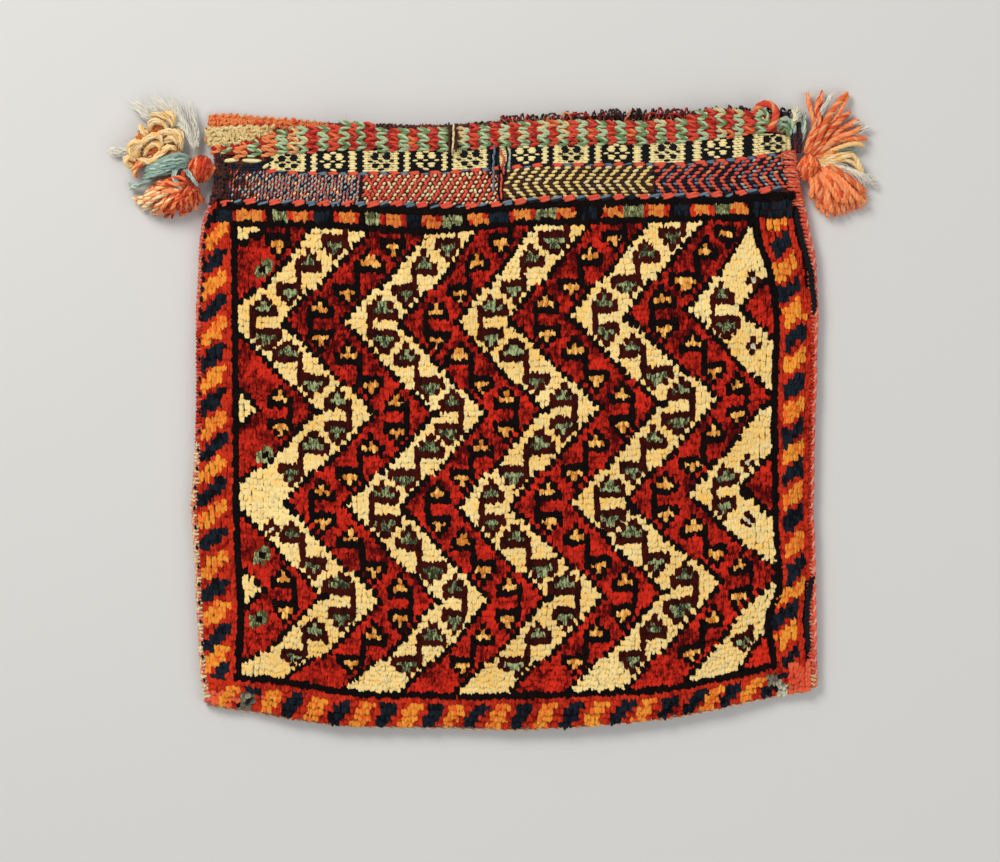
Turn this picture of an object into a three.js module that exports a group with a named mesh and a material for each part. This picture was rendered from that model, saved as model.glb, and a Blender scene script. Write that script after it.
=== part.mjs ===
// A small knotted-pile vanity bag with a tassel at each upper corner, lying flat on its back.
// Millimetres, +Z up. The mouth points along +Y and the pile face looks up along +Z.
// One woven strip is folded at the bottom edge into a pouch; wool lacing closes its two sides,
// a two-colour plait edges the front of the mouth, a cord edges the back of it, and the wool
// tassels hang from the corners, each turning about its own wound head.
import * as THREE from "three";
import { mergeVertices } from "three/addons/utils/BufferGeometryUtils.js";

// ---- driving dimensions -------------------------------------------------------------------
const UNIT = 0.48; // mm for one unit of the outline tables below
const CENTRE_X = 495.4522; // table position of the part's X = 0
const CENTRE_Y = 409.4488; // table position of the part's Y = 0
const BACK = 2.2; // thickness of the plain-woven back
const GAP = 6.9; // how far the empty pouch stands open in the middle
const GAP_EDGE = 0.4; // and at its sewn edges
const PILE_FRONT = 6.8; // thickness of the front where it carries pile
const FLAT_FRONT = 3.2; // thickness of the flat-woven bands at the mouth
const SEAM = 11; // width of the sewn margin beside the pocket, in table units
const LACE = 8; // width kept outside the cloth for the side lacing, in table units
const HEAD_LEFT = { x: 200, y: 169, r: 5.6, z: 5.8 }; // wound tassel heads
const HEAD_RIGHT = { x: 811, y: 167, r: 5.0, z: 5.2 };

const X = (t) => (t - CENTRE_X) * UNIT;
const Y = (t) => (CENTRE_Y - t) * UNIT;

// ---- outlines, as [position, value] tables --------------------------------------------------
const table = (rows) => (t) => {
  if (t <= rows[0][0]) return rows[0][1];
  for (let i = 1; i < rows.length; i++)
    if (t <= rows[i][0]) {
      const [a, va] = rows[i - 1],
        [b, vb] = rows[i];
      return va + ((vb - va) * (t - a)) / (b - a);
    }
  return rows[rows.length - 1][1];
};
const leftEdge = table([[112, 211], [150, 212], [168, 213.5], [185, 212], [205, 206.5], [222, 201], [245, 198], [275, 197], [305, 195], [360, 195], [410, 195], [446, 194], [476, 192], [507, 190], [538, 192], [568, 194], [599, 195], [630, 197], [660, 198], [700, 203]]);
const rightEdge = table([[112, 792], [130, 797], [151, 797], [187, 802], [205, 807], [225, 810], [258, 817], [315, 819], [353, 818], [400, 817], [430, 816], [476, 815], [507, 814.5], [553, 816], [600, 817], [650, 818], [690, 819]]);
const bottomEdge = table([[195, 702], [210, 706], [230, 709], [253, 712], [284, 718], [307, 721.5], [330, 725], [356, 727], [410, 727.5], [476, 729], [518, 730], [553, 728.5], [599, 725.5], [640, 722], [673, 718], [696, 713.5], [727, 707], [758, 700], [781, 696], [804, 692], [820, 690]]);
const frontRim = table([[215, 156], [263, 156], [304, 152.5], [351, 151.5], [418, 150.5], [451, 150], [487, 147.5], [540, 145.5], [594, 144.5], [648, 143.5], [674, 142], [709, 139], [736, 135.5], [763, 133], [790, 135]]);
const backRim = table([[205, 121.5], [250, 124.5], [300, 127.5], [350, 130], [400, 131.5], [450, 131], [500, 127.5], [550, 124], [600, 121.5], [650, 120], [700, 119], [750, 117.5], [798, 118]]);

const smooth = (a, b, t) => {
  const s = Math.min(1, Math.max(0, (t - a) / (b - a)));
  return s * s * (3 - 2 * s);
};

// ---- helpers --------------------------------------------------------------------------------
// A closed geometry from points and triangles, facing out.
function solid(points, faces) {
  let volume = 0;
  for (const [a, b, c] of faces)
    volume += points[a].dot(points[b].clone().cross(points[c]));
  const flat = new Float32Array(faces.length * 9);
  faces.forEach(([a, b, c], i) =>
    (volume < 0 ? [a, c, b] : [a, b, c]).forEach((k, j) =>
      points[k].toArray(flat, i * 9 + j * 3),
    ),
  );
  const g = new THREE.BufferGeometry();
  g.setAttribute("position", new THREE.BufferAttribute(flat, 3));
  const merged = mergeVertices(g, 1e-4);
  merged.computeVertexNormals();
  return merged;
}
// A loft through rings of equal length, with flat ends.
function loft(rings) {
  const n = rings[0].length,
    points = rings.flat(),
    faces = [];
  for (let r = 0; r + 1 < rings.length; r++)
    for (let k = 0; k < n; k++) {
      const a = r * n + k,
        b = r * n + ((k + 1) % n);
      faces.push([a, b, a + n], [b, b + n, a + n]);
    }
  for (const [first, turn] of [[0, false], [(rings.length - 1) * n, true]]) {
    const middle = new THREE.Vector3();
    for (let k = 0; k < n; k++) middle.add(points[first + k]);
    points.push(middle.divideScalar(n));
    for (let k = 0; k < n; k++) {
      const a = first + k,
        b = first + ((k + 1) % n);
      faces.push(turn ? [a, b, points.length - 1] : [b, a, points.length - 1]);
    }
  }
  return solid(points, faces);
}
// An oval cord along a path of {x, y, z} in mm: across and tall are its two diameters.
function cord(path, across, tall, sides = 10) {
  const curve = new THREE.CatmullRomCurve3(path.map((p) => new THREE.Vector3(p.x, p.y, p.z)), false, "centripetal");
  const steps = path.length * 2;
  const rings = [];
  for (let i = 0; i <= steps; i++) {
    const t = i / steps,
      p = curve.getPointAt(t),
      d = curve.getTangentAt(t);
    const side = new THREE.Vector3(d.y, -d.x, 0).normalize();
    const end = Math.sqrt(Math.max(0.12, 1 - Math.pow(Math.abs(2 * t - 1), 40)));
    const ring = [];
    for (let k = 0; k < sides; k++) {
      const a = (2 * Math.PI * k) / sides;
      ring.push(p.clone().addScaledVector(side, (across / 2) * end * Math.cos(a)).add(new THREE.Vector3(0, 0, (tall / 2) * end * Math.sin(a))));
    }
    rings.push(ring);
  }
  return loft(rings);
}
// A bunch of yarn that lies on the table: rows of [x, y, width, height], x, y and width in table
// units and height in mm, from the head outwards.
function bunch(rows, sides = 12) {
  const at = rows.map(([x, y]) => new THREE.Vector3(X(x), Y(y), 0));
  const rings = rows.map(([, , width, height], i) => {
    const d = at[Math.min(i + 1, rows.length - 1)].clone().sub(at[Math.max(i - 1, 0)]).normalize();
    const side = new THREE.Vector3(d.y, -d.x, 0);
    const ring = [];
    for (let k = 0; k < sides; k++) {
      const a = (2 * Math.PI * (k + 0.5)) / sides;
      const c = Math.sign(Math.cos(a)) * Math.pow(Math.abs(Math.cos(a)), 0.8),
        s = Math.sign(Math.sin(a)) * Math.pow(Math.abs(Math.sin(a)), 0.8);
      ring.push(at[i].clone().addScaledVector(side, (width * UNIT * c) / 2).setZ((height / 2) * (1 + s)));
    }
    return ring;
  });
  return loft(rings);
}

// ---- the woven strip, folded into a pouch ---------------------------------------------------
// How far the pouch stands open at a share u across it and v up it.
const open = (u, v) =>
  GAP_EDGE + GAP * (1 - Math.pow(Math.abs(2 * u - 1), 5)) * smooth(0, 0.22, v);

function wovenBody() {
  const across = [0, 0.012, 0.035, 0.075, 0.13, 0.2, 0.28, 0.36, 0.44, 0.5, 0.56, 0.64, 0.72, 0.8, 0.87, 0.925, 0.965, 0.988, 1];
  const along = [0, 0.012, 0.03, 0.06, 0.1, 0.16, 0.24, 0.34, 0.46, 0.58, 0.7, 0.8, 0.86, 0.897, 0.91, 0.93, 0.95, 0.975, 1];
  const points = [],
    faces = [];
  const put = (p) => points.push(p) - 1;
  // A place on the strip: the front or back sheet, with the pocket's margin taken in for the inside.
  const place = (u, v, front, inside) => {
    const edge = inside ? SEAM : 0;
    const middle = 505;
    const rim = front ? frontRim : backRim;
    let x = 200 + 615 * u,
      y = 0;
    for (let i = 0; i < 4; i++) {
      const low = bottomEdge(x) - edge * 0.8,
        high = rim(x);
      y = low + (high - low) * v;
      const l = leftEdge(y) + LACE + edge,
        r = rightEdge(y) - LACE - edge;
      x = l + (r - l) * u;
    }
    return { x, y, middle };
  };
  const outsideZ = (u, v, y, front) => {
    const side = Math.min(u, 1 - u);
    const roundIn = 1 - smooth(0, 0.03, side);
    const foldIn = 1 - smooth(0, 0.03, v);
    const in2 = Math.max(roundIn, foldIn * 0.9);
    if (!front) return 1.6 * in2;
    const thick = FLAT_FRONT + (PILE_FRONT - FLAT_FRONT) * smooth(203, 210, y);
    return BACK + open(u, v) + thick - in2 * (0.25 * thick + 0.6);
  };
  const rows = (inside) =>
    along.map((v) => {
      const sheet = (front) => {
        const row = across.map((u) => {
          const p = place(u, v, front, inside);
          let z;
          if (inside) z = front ? BACK + open(u, v) : BACK;
          else z = outsideZ(u, v, p.y, front);
          return put(new THREE.Vector3(X(p.x), Y(p.y), z));
        });
        return row;
      };
      return { front: sheet(true), back: sheet(false) };
    });
  const outer = rows(false),
    inner = rows(true);
  const quad = (a, b, c, d, turn) =>
    turn ? faces.push([a, c, b], [a, d, c]) : faces.push([a, b, c], [a, c, d]);
  for (const [set, turn] of [[outer, false], [inner, true]]) {
    for (let i = 0; i + 1 < along.length; i++) {
      const p = set[i],
        q = set[i + 1];
      for (let k = 0; k + 1 < across.length; k++) {
        quad(p.front[k], p.front[k + 1], q.front[k + 1], q.front[k], turn);
        quad(p.back[k + 1], p.back[k], q.back[k], q.back[k + 1], turn);
      }
      const m = across.length - 1;
      quad(p.back[0], p.front[0], q.front[0], q.back[0], turn);
      quad(p.front[m], p.back[m], q.back[m], q.front[m], turn);
    }
    for (let k = 0; k + 1 < across.length; k++) // the fold at the bottom
      quad(set[0].back[k], set[0].back[k + 1], set[0].front[k + 1], set[0].front[k], turn);
  }
  // The two rims at the mouth.
  const o = outer[along.length - 1],
    n = inner[along.length - 1],
    m = across.length - 1;
  for (let k = 0; k < m; k++) {
    quad(o.front[k], o.front[k + 1], n.front[k + 1], n.front[k], false);
    quad(o.back[k + 1], o.back[k], n.back[k], n.back[k + 1], false);
  }
  quad(o.back[0], o.front[0], n.front[0], n.back[0], false);
  quad(o.front[m], o.back[m], n.back[m], n.front[m], false);
  return solid(points, faces);
}

// ---- edgings --------------------------------------------------------------------------------
const span = (a, b, n) => Array.from({ length: n }, (_, i) => a + ((b - a) * i) / (n - 1));
const shareAcross = (x) => (x - 215) / (790 - 215);

const plaitPath = span(217, 788, 17).map((x) => ({
  x: X(x),
  y: Y(frontRim(x) - 13.4),
  z: BACK + open(Math.min(1, Math.max(0, shareAcross(x))), 1) + 2.3,
}));
const backCordPath = span(212, 792, 17).map((x) => ({ x: X(x), y: Y(backRim(x) - 6.4), z: 2.1 }));
const sidePath = (edge, sign, from, to, n, z) =>
  span(from, to, n).map((y) => ({ x: X(edge(y) + sign * 3.6), y: Y(y), z }));

// ---- the assembly ---------------------------------------------------------------------------
const wool = (colour, roughness = 0.95) =>
  new THREE.MeshStandardMaterial({ color: colour, roughness, metalness: 0 });
const madder = wool(0xb3201a),
  ivory = wool(0xe8c878),
  salmon = wool(0xe0664a),
  brown = wool(0x4a2a22),
  green = wool(0x8fa878),
  rust = wool(0xd9562c),
  amber = wool(0xe8a850),
  teal = wool(0x7aa6a2),
  cotton = wool(0xd8d4c4);

const bag = new THREE.Group();
bag.name = "vanity_bag";
const add = (group, name, geometry, material) => {
  const mesh = new THREE.Mesh(geometry, material);
  mesh.name = name;
  group.add(mesh);
};

add(bag, "woven_body", wovenBody(), madder);
add(bag, "left_side_lacing", cord(sidePath(leftEdge, 1, 206, 698, 19, 4.2), 3.3, 7.4), ivory);
add(bag, "right_side_lacing", cord(sidePath(rightEdge, -1, 208, 686, 19, 4.2), 3.3, 7.4), salmon);
add(bag, "left_corner_wrap", cord(sidePath(leftEdge, 0.8, 154, 203, 6, 3.4), 2.6, 6.2), brown);
add(bag, "right_corner_wrap", cord(sidePath(rightEdge, -0.8, 150, 205, 6, 3.4), 2.6, 6.2), salmon);
add(bag, "mouth_plait", cord(plaitPath, 11.4, 4.6, 12), green);
add(bag, "back_rim_cord", cord(backCordPath, 4.2, 4.0), rust);
add(bag, "plait_end_tuft", bunch([[792.5, 126, 3, 6], [794.5, 120, 6, 7.5], [795.5, 112, 7, 7.5], [795.5, 105, 6, 6]], 10), teal);

const head = ({ x, y, r, z }) => {
  const g = new THREE.SphereGeometry(r, 18, 12);
  g.deleteAttribute("normal");
  g.deleteAttribute("uv");
  const ball = mergeVertices(g, 1e-3);
  ball.rotateX(Math.PI / 2);
  ball.translate(X(x), Y(y), z);
  return ball;
};

const leftTassel = new THREE.Group();
add(leftTassel, "left_tassel_head", head(HEAD_LEFT), rust);
add(leftTassel, "left_tassel_orange_hank", bunch([[191.5, 180.5, 6, 5], [187, 186, 16, 8], [176, 193, 32, 12.5], [161, 197, 37, 13], [146, 198, 30, 11], [135, 197, 16, 6]]), rust);
add(leftTassel, "left_tassel_blue_hank", bunch([[187, 168.5, 4, 5], [177, 166, 9, 9], [162, 167.5, 10, 11], [148, 171, 9, 9], [134, 178, 7, 7], [127, 182, 4, 4]], 10), teal);
add(leftTassel, "left_tassel_yellow_hank", bunch([[190.5, 159, 4, 5], [184, 151, 12, 7], [175, 144, 26, 10], [163, 140, 38, 12], [150, 141, 42, 12], [138, 146, 34, 10], [124, 151, 18, 6], [111, 152, 8, 4]]), amber);
add(leftTassel, "left_tassel_white_ends", bunch([[200, 155.5, 4, 4], [199, 145, 6, 4], [195, 127, 9, 6], [184, 110, 15, 7], [168, 102, 17, 7], [152, 99, 17, 6], [138, 100, 12, 5], [127, 97, 7, 3]], 10), cotton);
bag.add(leftTassel);

const rightTassel = new THREE.Group();
add(rightTassel, "right_tassel_head", head(HEAD_RIGHT), rust);
add(rightTassel, "right_tassel_upper_hank", bunch([[815.5, 155.6, 5, 5], [821, 148, 18, 7.5], [829, 136, 38, 9.5], [836, 122, 46, 9.5], [841, 108, 46, 8], [846, 95, 34, 5]]), rust);
add(rightTassel, "right_tassel_yellow_hank", bunch([[822.8, 165.5, 4, 5], [834, 164.5, 8, 8], [846, 164, 11, 9], [857, 166, 12, 8], [866, 171.5, 10, 6], [871, 175, 6, 4]], 10), amber);
add(rightTassel, "right_tassel_lower_hank", bunch([[818, 177.2, 5, 5], [824, 182, 17, 9], [834, 188, 30, 12.5], [844, 193, 34, 13], [853, 199, 33, 11.5], [860, 204, 20, 7]]), rust);
add(rightTassel, "right_tassel_white_ends", bunch([[868, 180.5, 4, 4], [871.5, 184, 9, 6], [875, 186, 12, 6], [878.5, 187.5, 9, 4]], 10), cotton);
bag.add(rightTassel);

export default bag;
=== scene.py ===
import math
import bpy
import numpy as np
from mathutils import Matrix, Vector


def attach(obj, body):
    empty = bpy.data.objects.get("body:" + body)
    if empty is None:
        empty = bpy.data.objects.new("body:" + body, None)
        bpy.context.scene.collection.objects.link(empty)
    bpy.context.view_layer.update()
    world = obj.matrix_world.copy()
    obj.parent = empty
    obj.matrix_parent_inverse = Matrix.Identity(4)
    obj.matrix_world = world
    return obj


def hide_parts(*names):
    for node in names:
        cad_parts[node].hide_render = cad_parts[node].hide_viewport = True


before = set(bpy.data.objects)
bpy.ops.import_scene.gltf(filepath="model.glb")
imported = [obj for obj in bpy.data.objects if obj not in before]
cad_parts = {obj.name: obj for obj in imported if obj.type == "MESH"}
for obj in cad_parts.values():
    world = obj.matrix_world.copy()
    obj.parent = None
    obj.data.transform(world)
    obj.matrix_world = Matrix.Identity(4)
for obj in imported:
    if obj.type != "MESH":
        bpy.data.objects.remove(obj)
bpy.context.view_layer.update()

rng = np.random.default_rng(20)

# ---------------------------------------------------------------------------------------------
# The bag lies flat on its back: +X to the right, +Y to the mouth, +Z up out of the pile face.
# The outline tables are in units of 0.48 mm, the same units as the CAD outlines.
# ---------------------------------------------------------------------------------------------
UNIT = 0.00048
CENTRE_X, CENTRE_Y = 495.4522, 409.4488
BACK, GAP, GAP_EDGE, PILE_FRONT, FLAT_FRONT, LACE = 2.2, 6.9, 0.4, 6.8, 3.2, 8.0
MM = 0.001


def mx(t):
    return (np.asarray(t, float) - CENTRE_X) * UNIT


def my(t):
    return (CENTRE_Y - np.asarray(t, float)) * UNIT


def table(rows):
    a = np.array(rows, float)
    return lambda t: np.interp(t, a[:, 0], a[:, 1])


left_edge = table([(112, 211), (150, 212), (168, 213.5), (185, 212), (205, 206.5), (222, 201), (245, 198), (275, 197), (305, 195), (360, 195), (410, 195), (446, 194), (476, 192), (507, 190), (538, 192), (568, 194), (599, 195), (630, 197), (660, 198), (700, 203)])
right_edge = table([(112, 792), (130, 797), (151, 797), (187, 802), (205, 807), (225, 810), (258, 817), (315, 819), (353, 818), (400, 817), (430, 816), (476, 815), (507, 814.5), (553, 816), (600, 817), (650, 818), (690, 819)])
bottom_edge = table([(195, 702), (210, 706), (230, 709), (253, 712), (284, 718), (307, 721.5), (330, 725), (356, 727), (410, 727.5), (476, 729), (518, 730), (553, 728.5), (599, 725.5), (640, 722), (673, 718), (696, 713.5), (727, 707), (758, 700), (781, 696), (804, 692), (820, 690)])
front_rim = table([(215, 156), (263, 156), (304, 152.5), (351, 151.5), (418, 150.5), (451, 150), (487, 147.5), (540, 145.5), (594, 144.5), (648, 143.5), (674, 142), (709, 139), (736, 135.5), (763, 133), (790, 135)])
back_rim = table([(205, 121.5), (250, 124.5), (300, 127.5), (350, 130), (400, 131.5), (450, 131), (500, 127.5), (550, 124), (600, 121.5), (650, 120), (700, 119), (750, 117.5), (798, 118)])
# lines across the mouth bands, from the plait down to the pile
band_low = table([(215, 166), (262, 169), (300, 172), (345, 172.5), (420, 172), (450, 171), (490, 168), (540, 164), (600, 163.5), (680, 163), (720, 159.5), (760, 155), (790, 149)])
brocade_low = table([(212, 203), (250, 201), (330, 204), (400, 204), (450, 205.5), (480, 206), (540, 199), (600, 197.5), (640, 197), (700, 195), (740, 193), (775, 188), (795, 187)])
pile_top = table([(205, 206), (250, 206.5), (330, 208.5), (380, 211), (415, 213), (450, 213), (480, 210.5), (540, 206), (600, 204.5), (640, 203), (720, 201.5), (760, 197), (800, 196)])
# the black lines that frame the field
line_left = table([(200, 234), (250, 234.5), (300, 235), (430, 236), (500, 236.5), (560, 238.5), (600, 241), (640, 240), (680, 237)])
pull_right = table([(200, -9), (222, -8.5), (240, -6.5), (258, -1), (278, 2), (297, 2.4), (316, 3), (335, 2.4), (354, 0), (540, 0), (575, 2.7), (592, 0.8), (602, -2.4), (612, -4.5), (622, -5), (634, -4), (645, -1.5), (658, 0.6), (690, 0)])
line_right = table([(200, 764), (230, 764), (250, 765), (300, 772), (350, 775), (430, 774), (500, 775), (550, 776.5), (590, 777), (620, 773), (650, 773), (690, 775)])
line_top = table([(230, 224), (250, 224), (330, 226), (380, 229.5), (415, 231.5), (450, 230.5), (480, 227), (540, 222.5), (600, 222), (650, 220), (690, 218.5), (720, 217.5), (750, 219.5), (775, 223)])
line_bottom = table([(232, 676), (272, 678.5), (302, 683), (333, 690), (379, 694.5), (419, 695), (461, 696), (522, 694.5), (584, 693), (639, 691), (666, 689), (696, 682.5), (727, 676), (758, 668), (778, 665)])


def smooth(a, b, t):
    s = np.clip((t - a) / (b - a), 0, 1)
    return s * s * (3 - 2 * s)


def shares(px, py):
    l, r = left_edge(py) + LACE, right_edge(py) - LACE
    u = np.clip((px - l) / (r - l), 0, 1)
    low, high = bottom_edge(px), front_rim(px)
    v = np.clip((low - py) / (low - high), 0, 1)
    return u, v


def standing_open(u, v):
    return GAP_EDGE + GAP * (1 - np.abs(2 * u - 1) ** 5) * smooth(0, 0.22, v)


def ripple(px, py):
    """Slow unevenness of the cloth, in mm."""
    return (0.45 * np.sin(px / 61 + 0.7 * np.sin(py / 83)) * np.sin(py / 71 + 1.1)
            + 0.25 * np.sin(px / 27 + py / 39) * np.sin(py / 33 - px / 90))


def front_height(px, py):
    """Height of the top of the front's ground weave in mm, under pile or in the flat bands."""
    u, v = shares(px, py)
    side = np.minimum(u, 1 - u)
    inward = np.maximum(1 - smooth(0, 0.03, side), 0.9 * (1 - smooth(0, 0.03, v)))
    thick = np.where(py > pile_top(px) - 2, PILE_FRONT, FLAT_FRONT)
    fade = smooth(0, 0.1, side) * smooth(0, 0.1, v)
    top = BACK + standing_open(u, v) + thick - inward * (0.25 * thick + 0.6) + ripple(px, py) * fade
    return top - np.where(py > pile_top(px) - 2, 4.4, 0.9)


# ---------------------------------------------------------------------------------------------
# Meshes of many small tubes: pile tufts, woven stitches and yarns.
# ---------------------------------------------------------------------------------------------
def tube_faces(rings, sides, cap0, cap1, wrap=True):
    """Corner indices and cell coordinates of a tube's faces: rings of points, then the end points. Without wrap it is open below."""
    quads, tris, quv, tuv = [], [], [], []
    n = rings * sides
    a0, a1 = n, n + (1 if cap0 else 0)
    y = lambda r: 0.06 + 0.88 * r / (rings - 1)
    spans = sides if wrap else sides - 1
    for r in range(rings - 1):
        for k in range(spans):
            m = (k + 1) % sides
            quads.append((r * sides + k, r * sides + m, (r + 1) * sides + m, (r + 1) * sides + k))
            quv.append(((k / sides, y(r)), ((k + 1) / sides, y(r)), ((k + 1) / sides, y(r + 1)), (k / sides, y(r + 1))))
    for k in range(spans):
        m = (k + 1) % sides
        if cap0:
            tris.append((m, k, a0))
            tuv.append((((k + 1) / sides, 0.06), (k / sides, 0.06), ((k + 0.5) / sides, 0.0)))
        if cap1:
            b = (rings - 1) * sides
            tris.append((b + k, b + m, a1))
            tuv.append(((k / sides, 0.94), ((k + 1) / sides, 0.94), ((k + 0.5) / sides, 1.0)))
    return np.array(quads), np.array(tris).reshape(-1, 3), np.array(quv), np.array(tuv).reshape(-1, 3, 2)


class Cloud:
    """Collects tubes and makes one mesh of them, each with a cell of its own in the map."""

    def __init__(self):
        self.v, self.tone, self.tip = [], [], []
        self.q, self.t, self.qu, self.tu, self.qc, self.tc, self.qm, self.tm = [], [], [], [], [], [], [], []
        self.nv = self.n = 0

    def add(self, points, rings, sides, cap0, cap1, tone=0.0, mat=0, wrap=True):
        points = np.asarray(points, float)
        count, per = points.shape[0], points.shape[1]
        if count == 0:
            return
        q, t, qu, tu = tube_faces(rings, sides, cap0, cap1, wrap)
        tone = np.broadcast_to(np.asarray(tone, float), (count,))
        mat = np.broadcast_to(np.asarray(mat, int), (count,))
        self.v.append(points.reshape(-1, 3))
        self.tone.append(np.repeat(tone, per))
        tip = np.concatenate([np.repeat(np.linspace(0, 1, rings), sides), [0.0] * bool(cap0), [1.0] * bool(cap1)])
        self.tip.append(np.tile(tip, count))
        start = self.nv + np.arange(count)[:, None, None] * per
        cell = self.n + np.arange(count)
        self.q.append((q[None] + start).reshape(-1, 4))
        self.qu.append(np.tile(qu, (count, 1, 1)))
        self.qc.append(np.repeat(cell, len(q)))
        self.qm.append(np.repeat(mat, len(q)))
        if len(t):
            self.t.append((t[None] + start).reshape(-1, 3))
            self.tu.append(np.tile(tu, (count, 1, 1)))
            self.tc.append(np.repeat(cell, len(t)))
            self.tm.append(np.repeat(mat, len(t)))
        self.nv += count * per
        self.n += count

    def make(self, name, mats):
        v = np.concatenate(self.v)
        q = np.concatenate(self.q)
        t = np.concatenate(self.t) if self.t else np.zeros((0, 3), int)
        qm = np.concatenate(self.qm)
        tm = np.concatenate(self.tm) if self.tm else np.zeros(0, int)
        grid = max(1, math.ceil(math.sqrt(self.n)))

        def uv(u, c):
            at = np.stack([c % grid, c // grid], -1)[:, None, :]
            return ((at + 0.06 + 0.88 * u) / grid).reshape(-1, 2)

        maps = [uv(np.concatenate(self.qu), np.concatenate(self.qc))]
        if len(t):
            maps.append(uv(np.concatenate(self.tu), np.concatenate(self.tc)))
        return mesh_object(name, v, q, t, mats, np.concatenate([qm, tm]), np.concatenate(maps),
                           {"tone": np.concatenate(self.tone), "tip": np.concatenate(self.tip)})


def mesh_object(name, v, quads, tris, mats, mat_index=None, uv=None, attributes=None):
    me = bpy.data.meshes.new(name)
    nq, nt = len(quads), len(tris)
    me.vertices.add(len(v))
    me.vertices.foreach_set("co", np.asarray(v, np.float32).ravel())
    loops = np.concatenate([np.asarray(quads, int).ravel(), np.asarray(tris, int).ravel()])
    me.loops.add(len(loops))
    me.loops.foreach_set("vertex_index", loops.astype(np.int32))
    me.polygons.add(nq + nt)
    starts = np.concatenate([np.arange(nq) * 4, nq * 4 + np.arange(nt) * 3])
    me.polygons.foreach_set("loop_start", starts.astype(np.int32))
    me.update(calc_edges=True)
    me.polygons.foreach_set("use_smooth", np.ones(nq + nt, bool))
    for m in mats:
        me.materials.append(m)
    if mat_index is not None:
        me.polygons.foreach_set("material_index", np.asarray(mat_index, np.int32))
    if uv is not None:
        layer = me.uv_layers.new(name="OFBake")
        layer.data.foreach_set("uv", np.asarray(uv, np.float32).ravel())
    for key, values in (attributes or {}).items():
        a = me.attributes.new(key, "FLOAT", "POINT")
        a.data.foreach_set("value", np.asarray(values, np.float32))
    me.validate()
    me.update()
    obj = bpy.data.objects.new(name, me)
    bpy.context.scene.collection.objects.link(obj)
    return obj


def grains(x, y, z, angle, length, width, height, rings=4, sides=6, arch=0.0):
    """Rice-shaped stitches lying on the cloth. Places in metres, angle in the plane, sizes in metres; arch lifts the middle."""
    x, y, z, angle, length, width, height, arch = [np.broadcast_to(np.asarray(a, float), np.shape(x)) for a in (x, y, z, angle, length, width, height, arch)]
    n = len(x)
    c, s = np.cos(angle), np.sin(angle)
    along = np.linspace(-0.86, 0.86, rings)
    girth = np.sqrt(1 - (along * 0.94) ** 2) ** 0.75
    a = 2 * np.pi * (np.arange(sides) + 0.5) / sides
    pts = np.zeros((n, rings * sides + 2, 3))
    for r in range(rings):
        bow = arch * (1 - along[r] ** 2)
        for k in range(sides):
            lx = along[r] * length / 2
            ly = girth[r] * math.cos(a[k]) * width / 2
            lz = girth[r] * math.sin(a[k]) * height / 2 + bow
            pts[:, r * sides + k, 0] = x + lx * c - ly * s
            pts[:, r * sides + k, 1] = y + lx * s + ly * c
            pts[:, r * sides + k, 2] = z + lz
    for e, sign in ((0, -1), (1, 1)):
        pts[:, rings * sides + e, 0] = x + sign * length / 2 * c
        pts[:, rings * sides + e, 1] = y + sign * length / 2 * s
        pts[:, rings * sides + e, 2] = z - height * 0.15
    return pts


def spline(points, step):
    """Evenly spaced points on a Catmull-Rom line through the given points."""
    p = np.asarray(points, float)
    p = np.vstack([2 * p[0] - p[1], p, 2 * p[-1] - p[-2]])
    out = []
    for i in range(1, len(p) - 2):
        t = np.linspace(0, 1, 14, endpoint=False)[:, None]
        a, b, c, d = p[i - 1], p[i], p[i + 1], p[i + 2]
        out.append(0.5 * (2 * b + (c - a) * t + (2 * a - 5 * b + 4 * c - d) * t ** 2 + (3 * b - a - 3 * c + d) * t ** 3))
    line = np.vstack(out + [p[-2][None]])
    d = np.concatenate([[0], np.cumsum(np.linalg.norm(np.diff(line, axis=0), axis=1))])
    n = max(4, int(round(d[-1] / step)) + 1)
    s = np.linspace(0, d[-1], n)
    return np.stack([np.interp(s, d, line[:, k]) for k in range(3)], -1), s


def frames(line):
    t = np.gradient(line, axis=0)
    t /= np.linalg.norm(t, axis=1, keepdims=True) + 1e-12
    n = np.zeros_like(t)
    ref = np.array([0, 0, 1.0]) if abs(t[0, 2]) < 0.9 else np.array([1.0, 0, 0])
    n[0] = np.cross(t[0], ref)
    n[0] /= np.linalg.norm(n[0])
    for i in range(1, len(t)):
        v = n[i - 1] - t[i] * np.dot(n[i - 1], t[i])
        n[i] = v / (np.linalg.norm(v) + 1e-12)
    return t, n, np.cross(t, n)


def tube_points(line, radius, sides, turn=0.0):
    """One tube round a line, closed at both ends, as an array for Cloud.add."""
    t, n, b = frames(line)
    radius = np.broadcast_to(np.asarray(radius, float), (len(line),))
    a = 2 * np.pi * np.arange(sides) / sides + turn
    ring = line[:, None, :] + radius[:, None, None] * (n[:, None, :] * np.cos(a)[None, :, None] + b[:, None, :] * np.sin(a)[None, :, None])
    ends = np.stack([line[0] - t[0] * radius[0] * 0.5, line[-1] + t[-1] * radius[-1] * 0.5])
    return np.concatenate([ring.reshape(-1, 3), ends])[None]


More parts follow.
